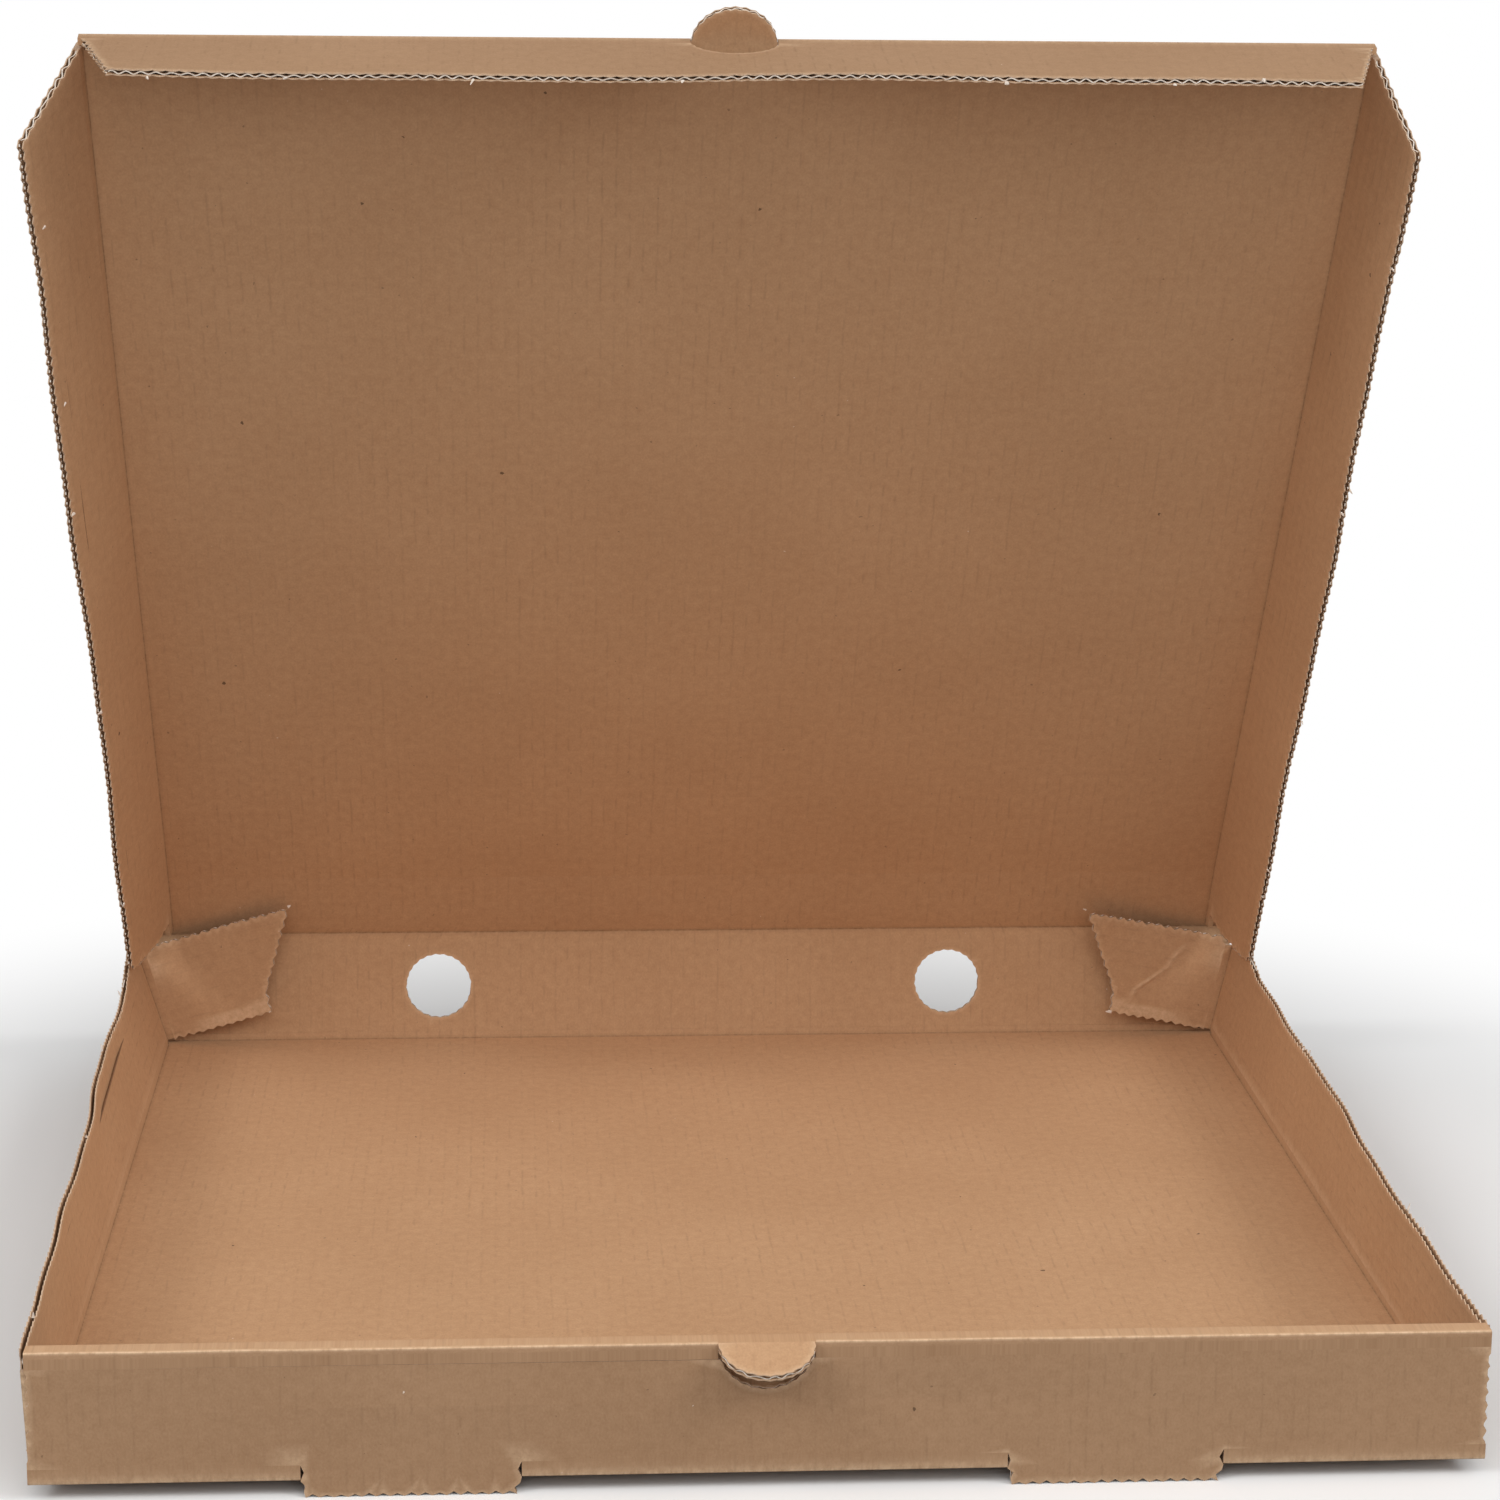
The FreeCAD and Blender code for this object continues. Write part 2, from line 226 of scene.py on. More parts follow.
def makeFluteGroup():
    # thin broken lines where the liner is glued down to each flute, and the washboard's height
    group, source, result = newTree("fluteLines", "ShaderNodeTree", [
        ("Sheet", "NodeSocketVector", None),
        ("Pitch", "NodeSocketFloat", board["flutePitch"]),
    ], [("Line", "NodeSocketFloat"), ("Height", "NodeSocketFloat")])
    sheet = source.outputs["Sheet"]
    split = addNode(group, "ShaderNodeSeparateXYZ", {0: sheet})
    turns = mathNode(group, "DIVIDE", split.outputs["X"], source.outputs["Pitch"])
    wobble = mathNode(group, "MULTIPLY", noiseNode(group, sheet, 60, 2), 0.35)
    phase = mathNode(group, "MULTIPLY", mathNode(group, "ADD", turns, wobble), 2 * math.pi)
    wave = mathNode(group, "MULTIPLY", mathNode(group, "ADD", mathNode(group, "SINE", phase), 1.0), 0.5)
    thin = mathNode(group, "POWER", wave, 14.0)
    broken = noiseNode(group, stretched(group, sheet, (1, 0.42, 1)), 520, 2)
    dashes = rampNode(group, broken, ((0.46, 0.0), (0.62, 1.0)))
    patchy = rampNode(group, noiseNode(group, sheet, 16, 2), ((0.35, 0.35), (0.65, 1.0)))
    line = mathNode(group, "MULTIPLY", mathNode(group, "MULTIPLY", thin, dashes), patchy)
    group.links.new(line, result.inputs["Line"])
    group.links.new(mathNode(group, "MULTIPLY", wave, patchy), result.inputs["Height"])
    return group


def makeWearAndPaintedLightGroup():
    # pale on cut edges and ridges, partly rubbed wear and partly painted highlight, and darkened with painted
    # shade in the valleys of folds, from the mesh's own attribute of wear and painted light
    group, source, result = newTree("foldWearAndPaintedLight", "ShaderNodeTree", [
        ("Sheet", "NodeSocketVector", None),
        ("Colour", "NodeSocketColor", None),
    ], [("Colour", "NodeSocketColor")])
    wearAndPaintedLight = addNode(group, "ShaderNodeAttribute", attribute_name="wearAndPaintedLight").outputs["Fac"]
    fine = noiseNode(group, source.outputs["Sheet"], 700, 4, 0.7)
    ragged = rampNode(group, fine, ((0.32, 0.25), (0.62, 1.0)))
    rubbedAndHighlight = mathNode(group, "MULTIPLY", wearAndPaintedLight, ragged, clamp=True)
    # painted shade: the valleys of folds are darkened
    paintedShade = mathNode(group, "MULTIPLY", wearAndPaintedLight, -1.0, clamp=True)
    pale = mathNode(group, "MULTIPLY", rubbedAndHighlight, 0.75)
    dark = mathNode(group, "MULTIPLY", paintedShade, ragged)
    colour = mixColours(group, pale, source.outputs["Colour"], finish["wornAndPaintedLight"])
    colour = mixColours(group, dark, colour, finish["paintedCreaseShade"])
    group.links.new(colour, result.inputs["Colour"])
    return group


pulpGroup = makePulpGroup()
fluteGroup = makeFluteGroup()
wearAndPaintedLightGroup = makeWearAndPaintedLightGroup()


def makePaper(name, word, lines=0.24, grain=0.4):
    dark, pale = finish[word + "Dark"], finish[word + "Pale"]
    material = bpy.data.materials.new(name)
    material.use_nodes = True
    tree = material.node_tree
    shader = tree.nodes["Principled BSDF"]
    shader.inputs["Specular IOR Level"].default_value = finish["shine"]
    sheet = addNode(tree, "ShaderNodeUVMap", uv_map="sheet").outputs["UV"]
    paper = addNode(tree, "ShaderNodeGroup", {"Sheet": sheet, "Dark": (*dark, 1), "Pale": (*pale, 1)},
                    node_tree=pulpGroup)
    flutes = addNode(tree, "ShaderNodeGroup", {"Sheet": sheet, "Pitch": board["flutePitch"]},
                     node_tree=fluteGroup)
    share = mathNode(tree, "MULTIPLY", flutes.outputs["Line"], lines)
    colour = mixColours(tree, share, paper.outputs["Colour"], tuple(0.55 * level for level in dark))
    # pale wear and a painted highlight on ridges, and painted shade in the valleys of folds
    wornAndPaintedLight = addNode(tree, "ShaderNodeGroup", {"Sheet": sheet, "Colour": colour}, node_tree=wearAndPaintedLightGroup)
    tree.links.new(wornAndPaintedLight.outputs["Colour"], shader.inputs["Base Color"])
    rough = mathNode(tree, "ADD", mathNode(tree, "MULTIPLY", paper.outputs["Height"], 0.2), 0.74)
    tree.links.new(rough, shader.inputs["Roughness"])
    washboard = addNode(tree, "ShaderNodeBump", {
        "Height": flutes.outputs["Height"], "Strength": 0.3, "Distance": finish["fluteBump"]})
    fuzz = addNode(tree, "ShaderNodeBump", {
        "Height": paper.outputs["Height"], "Strength": grain, "Distance": finish["grainBump"],
        "Normal": washboard.outputs["Normal"]})
    tree.links.new(fuzz.outputs["Normal"], shader.inputs["Normal"])
    return material


innerPaper = makePaper("innerLiner", "inner")
# a darker copy of the kraft liner, with painted shade, for the outer faces
shadedOuterPaper = makePaper("outerLinerShaded", "outer")
mediumPaper = makePaper("fluteMedium", "medium", lines=0.0)
edgePaper = makePaper("cutEdge", "edge", lines=0.0, grain=0.7)
fibrePaper = makePaper("tornFibre", "torn", lines=0.0)
papers = [innerPaper, edgePaper, mediumPaper, fibrePaper, shadedOuterPaper]
slotOf = {"inner": 0, "edge": 1, "medium": 2, "fibre": 3, "outer": 4}
print("materials made")


def endTree(tree, geometry, source, result):
    real = addNode(tree, "GeometryNodeRealizeInstances", {"Geometry": geometry})
    paint = addNode(tree, "GeometryNodeSetMaterial", {"Geometry": real.outputs["Geometry"],
                                                      "Material": source.outputs["Paper"]})
    tree.links.new(paint.outputs["Geometry"], result.inputs["Geometry"])


def makeWaveTree():
    # turns flat strips of medium into a thin wavy sheet; X runs across the flutes
    tree, source, result = newTree("fluteWave", "GeometryNodeTree", [
        ("Geometry", "NodeSocketGeometry", None),
        ("Pitch", "NodeSocketFloat", board["flutePitch"]),
        ("Depth", "NodeSocketFloat", 0.001),
        ("Wall", "NodeSocketFloat", 0.00016),
        ("Paper", "NodeSocketMaterial", None),
    ], [("Geometry", "NodeSocketGeometry")])
    place = tree.nodes.new("GeometryNodeInputPosition").outputs[0]
    split = addNode(tree, "ShaderNodeSeparateXYZ", {0: place})
    turns = mathNode(tree, "DIVIDE", split.outputs["X"], source.outputs["Pitch"])
    wave = mathNode(tree, "SINE", mathNode(tree, "MULTIPLY", turns, 2 * math.pi))
    rise = mathNode(tree, "MULTIPLY", mathNode(tree, "MULTIPLY", wave, source.outputs["Depth"]), 0.5)
    lift = addNode(tree, "ShaderNodeCombineXYZ", {"Z": rise})
    weld = {"Distance": 1e-6}
    merge = addNode(tree, "GeometryNodeMergeByDistance", {"Geometry": source.outputs["Geometry"], **weld})
    bent = addNode(tree, "GeometryNodeSetPosition", {"Geometry": merge.outputs["Geometry"],
                                                     "Offset": lift.outputs[0]})
    extrude = addNode(tree, "GeometryNodeExtrudeMesh", {"Mesh": bent.outputs["Geometry"], "Individual": False,
                                                        "Offset Scale": source.outputs["Wall"]})
    back = addNode(tree, "GeometryNodeFlipFaces", {"Mesh": bent.outputs["Geometry"]})
    join = addNode(tree, "GeometryNodeJoinGeometry", {"Geometry": back.outputs["Mesh"]})
    tree.links.new(extrude.outputs["Mesh"], join.inputs["Geometry"])
    closed = addNode(tree, "GeometryNodeMergeByDistance", {"Geometry": join.outputs["Geometry"], **weld})
    endTree(tree, closed.outputs["Geometry"], source, result)
    return tree


# a tag is a five-sided cone of its own size; least and most of its turn and its growth
tornTag = {
    "cone": {"Vertices": 5, "Radius Top": 0.12, "Radius Bottom": 0.42, "Depth": 1.3},
    "turn": ((-1.95, -0.35, -0.45), (-1.2, 0.35, 0.45)),
    "grow": ((0.5, 0.5, 0.45), (1.3, 0.9, 1.35)),
}


def makeTagTree():
    # a small torn tag of paper at each point of a cut edge, as a blank leaves where it was held
    tree, source, result = newTree("tornTags", "GeometryNodeTree", [
        ("Geometry", "NodeSocketGeometry", None),
        ("Size", "NodeSocketFloat", 0.001),
        ("Heading", "NodeSocketFloat", 0.0),
        ("Seed", "NodeSocketInt", 3),
        ("Paper", "NodeSocketMaterial", None),
    ], [("Geometry", "NodeSocketGeometry")])
    tag = addNode(tree, "GeometryNodeMeshCone", tornTag["cone"])
    turn, grow = (
        addNode(tree, "FunctionNodeRandomValue", {0: least, 1: most, "Seed": source.outputs["Seed"]},
                data_type="FLOAT_VECTOR").outputs[0]
        for least, most in (tornTag["turn"], tornTag["grow"]))
    scaled = addNode(tree, "ShaderNodeVectorMath", {0: grow}, operation="SCALE")
    tree.links.new(source.outputs["Size"], scaled.inputs["Scale"])
    heading = addNode(tree, "ShaderNodeCombineXYZ", {"Z": source.outputs["Heading"]})
    aim = addNode(tree, "ShaderNodeVectorMath", {0: turn, 1: heading.outputs[0]}, operation="ADD")
    spots = addNode(tree, "GeometryNodeInstanceOnPoints", {
        "Points": source.outputs["Geometry"], "Instance": tag.outputs["Mesh"],
        "Rotation": aim.outputs[0], "Scale": scaled.outputs[0]})
    endTree(tree, spots.outputs["Instances"], source, result)
    return tree


waveTree = makeWaveTree()
tagTree = makeTagTree()


def applyTree(mesh, tree, values):
    # the mesh after a node tree, with the tree's inputs set by their names
    carrier = bpy.data.objects.new("carrier", mesh)
    bpy.context.scene.collection.objects.link(carrier)
    modifier = carrier.modifiers.new("nodes", "NODES")
    modifier.node_group = tree
    for item in tree.interface.items_tree:
        if item.item_type == "SOCKET" and item.in_out == "INPUT" and item.name in values:
            modifier[item.identifier] = values[item.name]
    depsgraph = bpy.context.evaluated_depsgraph_get()
    made = bpy.data.meshes.new_from_object(carrier.evaluated_get(depsgraph))
    bpy.data.objects.remove(carrier)
    return made


def orient(loop):
    # the loop of (point, style) turned so that it runs anticlockwise
    points = np.array([p for p, _ in loop])
    following = np.roll(points, -1, axis=0)
    area = np.sum(points[:, 0] * following[:, 1] - following[:, 0] * points[:, 1])
    if area > 0:
        return loop
    styles = [style for _, style in loop]
    backwards = [loop[-i % len(loop)][0] for i in range(len(loop))]
    return [(p, styles[(-i - 1) % len(loop)]) for i, p in enumerate(backwards)]


def serrate(loop, inward=1):
    # points along a loop, with the small teeth that a cutting rule leaves on each cut edge
    loop = orient(loop)
    points = []
    for i, (start, style) in enumerate(loop):
        end = loop[(i + 1) % len(loop)][0]
        start, end = np.array(start, float), np.array(end, float)
        length = float(np.linalg.norm(end - start))
        if length < 1e-7:
            continue
        points.append(start)
        step = board["toothPitch"] / 2 if style == "cut" else board["meshStep"]
        count = max(1, round(length / step))
        along = (end - start) / length
        normal = np.array((-along[1], along[0])) * inward
        for k in range(1, count):
            depth = board["toothDepth"] * draw.uniform(0.55, 1.0) if style == "cut" and k % 2 else 0.0
            points.append(start + along * length * k / count + normal * depth)
    return points


def circleLoop(centre, radius, start=0.0, sweep=2 * math.pi, style="cut"):
    # points of an arc, a tooth pitch apart, as a loop's corners
    count = max(8, round(abs(sweep) * radius / (board["toothPitch"] * 0.4)))
    corners = []
    for k in range(count + (abs(sweep) < 6.28)):
        angle = start + sweep * k / count
        size = radius + (board["toothDepth"] * 0.3 if k % 2 else 0.0)
        corners.append(((centre[0] + size * math.cos(angle), centre[1] + size * math.sin(angle)), style))
    return corners


def insideLoops(points, loops):
    inside = np.zeros(len(points), bool)
    for loop in loops:
        a = np.array(loop)
        b = np.roll(a, -1, axis=0)
        for (x0, y0), (x1, y1) in zip(a, b):
            if y0 == y1:
                continue
            crosses = (points[:, 1] < y0) != (points[:, 1] < y1)
            at = x0 + (points[:, 1] - y0) * (x1 - x0) / (y1 - y0)
            inside ^= crosses & (points[:, 0] < at)
    return inside


def spansAcross(loops, x):
    # where the line at x lies on the board: a list of (low, high) along the flutes
    hits = []
    for loop in loops:
        a = np.array(loop)
        b = np.roll(a, -1, axis=0)
        for (x0, y0), (x1, y1) in zip(a, b):
            if (x0 < x) != (x1 < x):
                hits.append(y0 + (x - x0) * (y1 - y0) / (x1 - x0))
    hits.sort()
    return [(hits[i], hits[i + 1]) for i in range(0, len(hits) - 1, 2)]


def coreOf(spans, others):
    # the stretch of each span that is well inside the board on both sides
    cores = []
    for low, high in spans:
        inner = (low + board["mediumBand"], high - board["mediumBand"])
        for side in others:
            match = [(a, b) for a, b in side if a < (low + high) / 2 < b]
            inner = (max(inner[0], match[0][0]), min(inner[1], match[0][1])) if match else (1, 0)
        cores.append(inner if inner[0] < inner[1] else None)
    return cores


def mediumStrips(loops, run):
    # flat quads where the wavy medium can be seen or could show from a cut edge
    xs = np.concatenate([np.array(loop)[:, 0] for loop in loops])
    step = board["flutePitch"] / board["samplesPerFlute"]
    inset = board["mediumInset"]
    first = math.ceil((xs.min() + inset) / step)
    last = math.floor((xs.max() - inset) / step)
    columns = []
    for k in range(first, last + 1):
        x = k * step + 1e-6
        spans = [(a + inset, b - inset) for a, b in spansAcross(loops, x) if b - a > 4 * inset]
        sides = [spansAcross(loops, x - board["mediumBand"]), spansAcross(loops, x + board["mediumBand"])]
        bands = []
        for (low, high), core in zip(spans, coreOf(spans, sides)):
            bands.append((low, high, core))
        columns.append((x, bands))
    verts, faces = [], []
    for (x0, left), (x1, right) in zip(columns, columns[1:]):
        if len(left) != len(right):
            continue
        for (a0, b0, core0), (a1, b1, core1) in zip(left, right):
            if core0 and core1:
                count = max(1, round(board["mediumBand"] / run))
                pieces = [((a0, core0[0]), (a1, core1[0]), count), ((core0[1], b0), (core1[1], b1), count)]
            else:
                pieces = [((a0, b0), (a1, b1), max(1, round((b0 - a0) / run)))]
            for (l0, h0), (l1, h1), count in pieces:
                for n in range(count):
                    s0, s1 = n / count, (n + 1) / count
                    base = len(verts)
                    verts += [(x0, l0 + (h0 - l0) * s0, 0), (x1, l1 + (h1 - l1) * s0, 0),
                              (x1, l1 + (h1 - l1) * s1, 0), (x0, l0 + (h0 - l0) * s1, 0)]
                    faces.append((base, base + 1, base + 2, base + 3))
    mesh = bpy.data.meshes.new("strips")
    mesh.from_pydata(verts, [], faces)
    return mesh


class Pieces:
    # collects the parts of one body's board before they become one mesh

    def __init__(self):
        self.verts, self.faces, self.slots, self.sheet, self.wearAndPaintedLight = [], [], [], [], []

    def add(self, verts, faces, slot, sheet, wearAndPaintedLight=0.0):
        start = sum(len(v) for v in self.verts)
        self.verts.append(np.array(verts, float))
        self.sheet.append(np.array(sheet, float))
        self.wearAndPaintedLight.append(np.broadcast_to(np.array(wearAndPaintedLight, float), len(verts)))
        self.faces += [tuple(start + i for i in face) for face in faces]
        self.slots += [slot] * len(faces) if isinstance(slot, int) else list(slot)

    def build(self, name):
        verts = np.concatenate(self.verts)
        sheet = np.concatenate(self.sheet)
        mesh = bpy.data.meshes.new(name)
        mesh.from_pydata(verts.tolist(), [], self.faces)
        mesh.polygons.foreach_set("material_index", self.slots)
        layer = mesh.uv_layers.new(name="sheet")
        corners = np.empty(len(mesh.loops), dtype=np.int32)
        mesh.loops.foreach_get("vertex_index", corners)
        layer.data.foreach_set("uv", sheet[corners].astype(np.float32).ravel())
        # carries rubbed wear, and on folds also painted shade and a painted highlight
        wornAndPaintedLight = mesh.attributes.new("wearAndPaintedLight", "FLOAT", "POINT")
        wornAndPaintedLight.data.foreach_set("value", np.concatenate(self.wearAndPaintedLight).astype(np.float32))
        for paper in papers:
            mesh.materials.append(paper)
        mesh.update()
        piece = bpy.data.objects.new(name, mesh)
        bpy.context.scene.collection.objects.link(piece)
        return piece


def handOver(piece, body):
    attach(piece, body)
    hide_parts(body)
    print(piece.name, "made,", len(piece.data.polygons), "faces")


def bendBetween(piece, start, end):
    # a fold, baked where it stands
    tuple(start)
    tuple(end)
    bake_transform(piece)


def flatPlace(origin, across, along, outward):
    # places sheet coordinates: across the flutes, along them, and from the inner face outwards
    origin, across, along, outward = (np.array(v, float) for v in (origin, across, along, outward))

    def place(p):
        return origin + p[:, :1] * across + p[:, 1:2] * along + p[:, 2:3] * outward
    return place


def handed(place):
    # true where across, along and outward turn as X, Y and Z do
    o, a, b, c = place(np.array([(0.02, 0.02, 0), (0.021, 0.02, 0), (0.02, 0.021, 0), (0.02, 0.02, 0.001)]))
    return np.dot(np.cross(a - o, b - o), c - o) > 0


def gapTo(points, others):
    # distance from each point to the nearest of the others
    return np.sqrt(((points[:, None, :] - others[None, :, :]) ** 2).sum(axis=2)).min(axis=1)


def nearest(points, spans):
    # distance from each point to the nearest of the straight spans
    least = np.full(len(points), 1.0)
    for a, b in spans:
        a, b = np.array(a, float), np.array(b, float)
        share = np.clip(((points - a) @ (b - a)) / max(float(np.dot(b - a, b - a)), 1e-12), 0, 1)
        least = np.minimum(least, np.linalg.norm(points - a - share[:, None] * (b - a), axis=1))
    return least


def insetPoints(loops, width):
    # a row of points a little inside every edge, so that the rim can have its own shade
    found = []
    for loop in loops:
        rim = np.array(loop)
        along = np.roll(rim, -1, axis=0) - np.roll(rim, 1, axis=0)
        along /= np.maximum(np.linalg.norm(along, axis=1)[:, None], 1e-9)
        normal = np.column_stack((-along[:, 1], along[:, 0]))
        for way in (1, -1):
            inner = (rim + way * normal * (width + board["toothDepth"] * 0.5))[::2]
            inner = inner[insideLoops(inner, loops)]
            found.append(inner)
    found = np.concatenate(found)
    rims = np.concatenate([np.array(loop) for loop in loops])
    if len(found) and len(rims):
        found = found[gapTo(found, rims) > width * 0.8]
    return found.reshape(-1, 2)


def addBoard(pieces, outline, place, sheetStart, holes=(), bend=None, shade=None, step=board["meshStep"],
             outerFace="outer"):
    # two liners and the medium between them, inside an outline of (point, style) corners
    loops = [serrate(outline)] + [serrate(hole, -1) for hole in holes]
    solid = np.array(loops[0])
    low, high = solid.min(axis=0), solid.max(axis=0)
    grid = [(x, y) for x in np.arange(low[0] + step * 0.6, high[0], step)
            for y in np.arange(low[1] + step * 0.6, high[1], step)]
    grid = np.array(grid).reshape(-1, 2)
    if len(grid):
        grid = grid[insideLoops(grid, loops)]
        rims = np.concatenate([np.array(loop) for loop in loops])
        if len(grid):
            grid = grid[gapTo(grid, rims) > step * 0.35]
    points, edges, cutPoints = [], [], []
    rimPoints = insetPoints(loops, board["rimWidth"])
    if len(rimPoints) and len(grid):
        grid = grid[gapTo(grid, rimPoints) > board["rimWidth"]]
    grid = np.concatenate((grid, rimPoints))
    for loop, styled in zip(loops, [outline] + list(holes)):
        start = len(points)
        points += [Vector(p) for p in loop]
        corners = orient(styled)
        for k, (a, style) in enumerate(corners):
            if style == "cut":
                cutPoints.append((a, corners[(k + 1) % len(corners)][0]))
        edges += [(start + i, start + (i + 1) % len(loop)) for i in range(len(loop))]
    points += [Vector(p) for p in grid]
    flat, _, triangles, _, _, _ = delaunay_2d_cdt(points, edges, [], 0, 1e-7)
    flat = np.array([tuple(p) for p in flat])
    triangles = [tuple(t) for t in triangles]
    centres = np.array([flat[list(t)].mean(axis=0) for t in triangles])
    keep = insideLoops(centres, loops)
    triangles = [t for t, inside in zip(triangles, keep) if inside]
    right = handed(place)

    def positions(level):
        level = np.full(len(flat), level)
        if bend is not None:
            level = level + bend(flat[:, 0], flat[:, 1])
        return place(np.column_stack((flat, level)))

    seen = {}
    for t in triangles:
        for a, b in zip(t, t[1:] + t[:1]):
            seen[(a, b)] = True
    rim = [(a, b) for a, b in seen if (b, a) not in seen]
    sheet = flat + np.array(sheetStart)
    count = len(flat)
    wearAndPaintedLight = np.zeros(count) if shade is None else shade(flat[:, 0], flat[:, 1])
    wearAndPaintedLight = np.maximum(wearAndPaintedLight, board["rimWear"] * (nearest(flat, cutPoints) < board["toothDepth"] * 1.05))
    for bottom, top in ((0.0, board["liner"]), (thick - board["liner"], thick)):
        verts = np.concatenate((positions(bottom), positions(top)))
        faces = [tuple(reversed(t)) for t in triangles]
        faces += [tuple(i + count for i in t) for t in triangles]
        slots = [slotOf["inner" if bottom == 0.0 else outerFace]] * len(faces)
        walls = [(a, b, b + count, a + count) for a, b in rim]
        slots += [slotOf["edge"]] * len(walls)
        faces += walls
        if not right:
            faces = [tuple(reversed(face)) for face in faces]
        pieces.add(verts, faces, slots, np.concatenate((sheet, sheet)), np.concatenate((wearAndPaintedLight, wearAndPaintedLight)))
    addMedium(pieces, loops, place, sheetStart, bend, right, min(board["mediumBand"], step))


def addMedium(pieces, loops, place, sheetStart, bend, right, run):
    strips = mediumStrips(loops, run)
    if not strips.polygons:
        return
    depth = thick - 2 * board["liner"] - board["mediumWall"] - board["mediumInset"]
    wave = applyTree(strips, waveTree, {"Pitch": board["flutePitch"], "Depth": depth,
                                        "Wall": board["mediumWall"], "Paper": mediumPaper})
    verts = np.array([v.co for v in wave.vertices]).reshape(-1, 3)
    sheet = verts[:, :2] + np.array(sheetStart)
    verts[:, 2] += thick / 2 - board["mediumWall"] / 2
    if bend is not None:
        verts[:, 2] += bend(verts[:, 0], verts[:, 1])
    faces = [tuple(p.vertices) for p in wave.polygons]
    slots = [slotOf["fibre" if abs(p.normal.y) > 0.1 else "medium"] for p in wave.polygons]
    if not right:
        faces = [tuple(reversed(face)) for face in faces]
    pieces.add(place(verts), faces, slots, sheet)
    bpy.data.meshes.remove(wave)
    bpy.data.meshes.remove(strips)


def addTags(pieces, spots, place, sheetStart, heading, seed, size=0.0011):
    # torn tags at spots of a cut edge; heading turns them from straight along the flutes
    mesh = bpy.data.meshes.new("spots")
    mesh.from_pydata([(x, y, thick * draw.choice((0.12, 0.88))) for x, y in spots], [], [])
    tags = applyTree(mesh, tagTree, {"Size": size, "Heading": heading, "Seed": seed, "Paper": fibrePaper})
    verts = np.array([v.co for v in tags.vertices]).reshape(-1, 3)
    faces = [tuple(p.vertices) for p in tags.polygons]
    if not handed(place):
        faces = [tuple(reversed(face)) for face in faces]
    pieces.add(place(verts), faces, slotOf["fibre"], verts[:, :2] + np.array(sheetStart))
    bpy.data.meshes.remove(tags)
    bpy.data.meshes.remove(mesh)


def creasePath(start, corner, end, tight=0.3):
    # along one panel to the fold, tightly round it, and along the other
    near, far = corner + (start - corner) * tight, corner + (end - corner) * tight
    path = [start, (start + near) / 2]
    for t in (0.0, 0.3, 0.5, 0.7, 1.0):
        path.append((1 - t) ** 2 * near + 2 * t * (1 - t) * corner + t * t * far)
    return path + [(far + end) / 2, end]


# across each fold: painted shade darkening the valley, and paler on the ridge, partly rubbed wear and partly
# a painted highlight
foldWearAndPaintedLight = {
    "valley": (0, 0, -0.2, -0.6, -0.9, -0.6, -0.2, 0, 0),
    "ridge": (0, 0.1, 0.45, 0.9, 1.0, 0.9, 0.45, 0.1, 0),
}


def addFold(pieces, stations, alongFlutes, sheetStart, valley=foldWearAndPaintedLight["valley"], ridge=foldWearAndPaintedLight["ridge"],
            outerFace="outer", outerRows=99):
    # a rounded fold swept past stations, each an inner path, an outer path and a distance on the sheet
    size = len(stations[0][0])
    verts, sheet, faces = [], [], []
    for inner, outer, distance in stations:
        travel = 0.0
        ring = list(inner) + list(reversed(outer))
        steps = [0.0]
        for a, b in zip(inner, inner[1:]):
            travel += float(np.linalg.norm(b - a))
            steps.append(travel)
        marks = steps + list(reversed(steps))
        for point, mark in zip(ring, marks):
            verts.append(point)
            pair = (mark, distance) if alongFlutes else (distance, mark)
            sheet.append((sheetStart[0] + pair[0], sheetStart[1] + pair[1]))
    ringSize = 2 * size
    for s in range(len(stations) - 1):
        for k in range(ringSize):
            a, b = s * ringSize + k, s * ringSize + (k + 1) % ringSize
            faces.append((a, b, b + ringSize, a + ringSize))
    outerFrom = max(size, ringSize - 1 - outerRows)
    slots = [slotOf[outerFace if outerFrom <= k < ringSize - 1 else "inner"] for k in range(ringSize)]
    slots = slots * (len(stations) - 1)
    last = (len(stations) - 1) * ringSize
    for k in range(size - 1):
        faces.append((k + 1, k, ringSize - 1 - k, ringSize - 2 - k))
        faces.append((last + k, last + k + 1, last + ringSize - 2 - k, last + ringSize - 1 - k))
    slots += [slotOf["edge"]] * (len(faces) - len(slots))
    verts = np.array(verts)
    centre = verts[:ringSize].mean(axis=0)
    a, b, c = (verts[i] for i in faces[0][:3])
    outward = np.dot(np.cross(b - a, c - b), (a + b) / 2 - centre) > 0
    if not outward:
        faces = [tuple(reversed(face)) for face in faces]
    # painted shade along the inner valley, and rubbed wear with a painted highlight along the outer ridge
    wearAndPaintedLight = (list(valley) + list(reversed(ridge))) * len(stations)
    pieces.add(verts, faces, slots, sheet, wearAndPaintedLight)


def foldStation(corner, toA, outA, toB, outB, distance, bulge=0.0):
    # the section of a fold between panels A and B, about the corner where their inner faces meet
    startA, startB = corner + toA * reach, corner + toB * reach
    outerCorner = corner + (outA + outB) * (thick + bulge) / (1 + float(np.dot(outA, outB)))
    inner = creasePath(startA, corner, startB, 0.15)
    outer = creasePath(startA + outA * thick, outerCorner, startB + outB * thick, 0.22)
    return inner, outer, distance


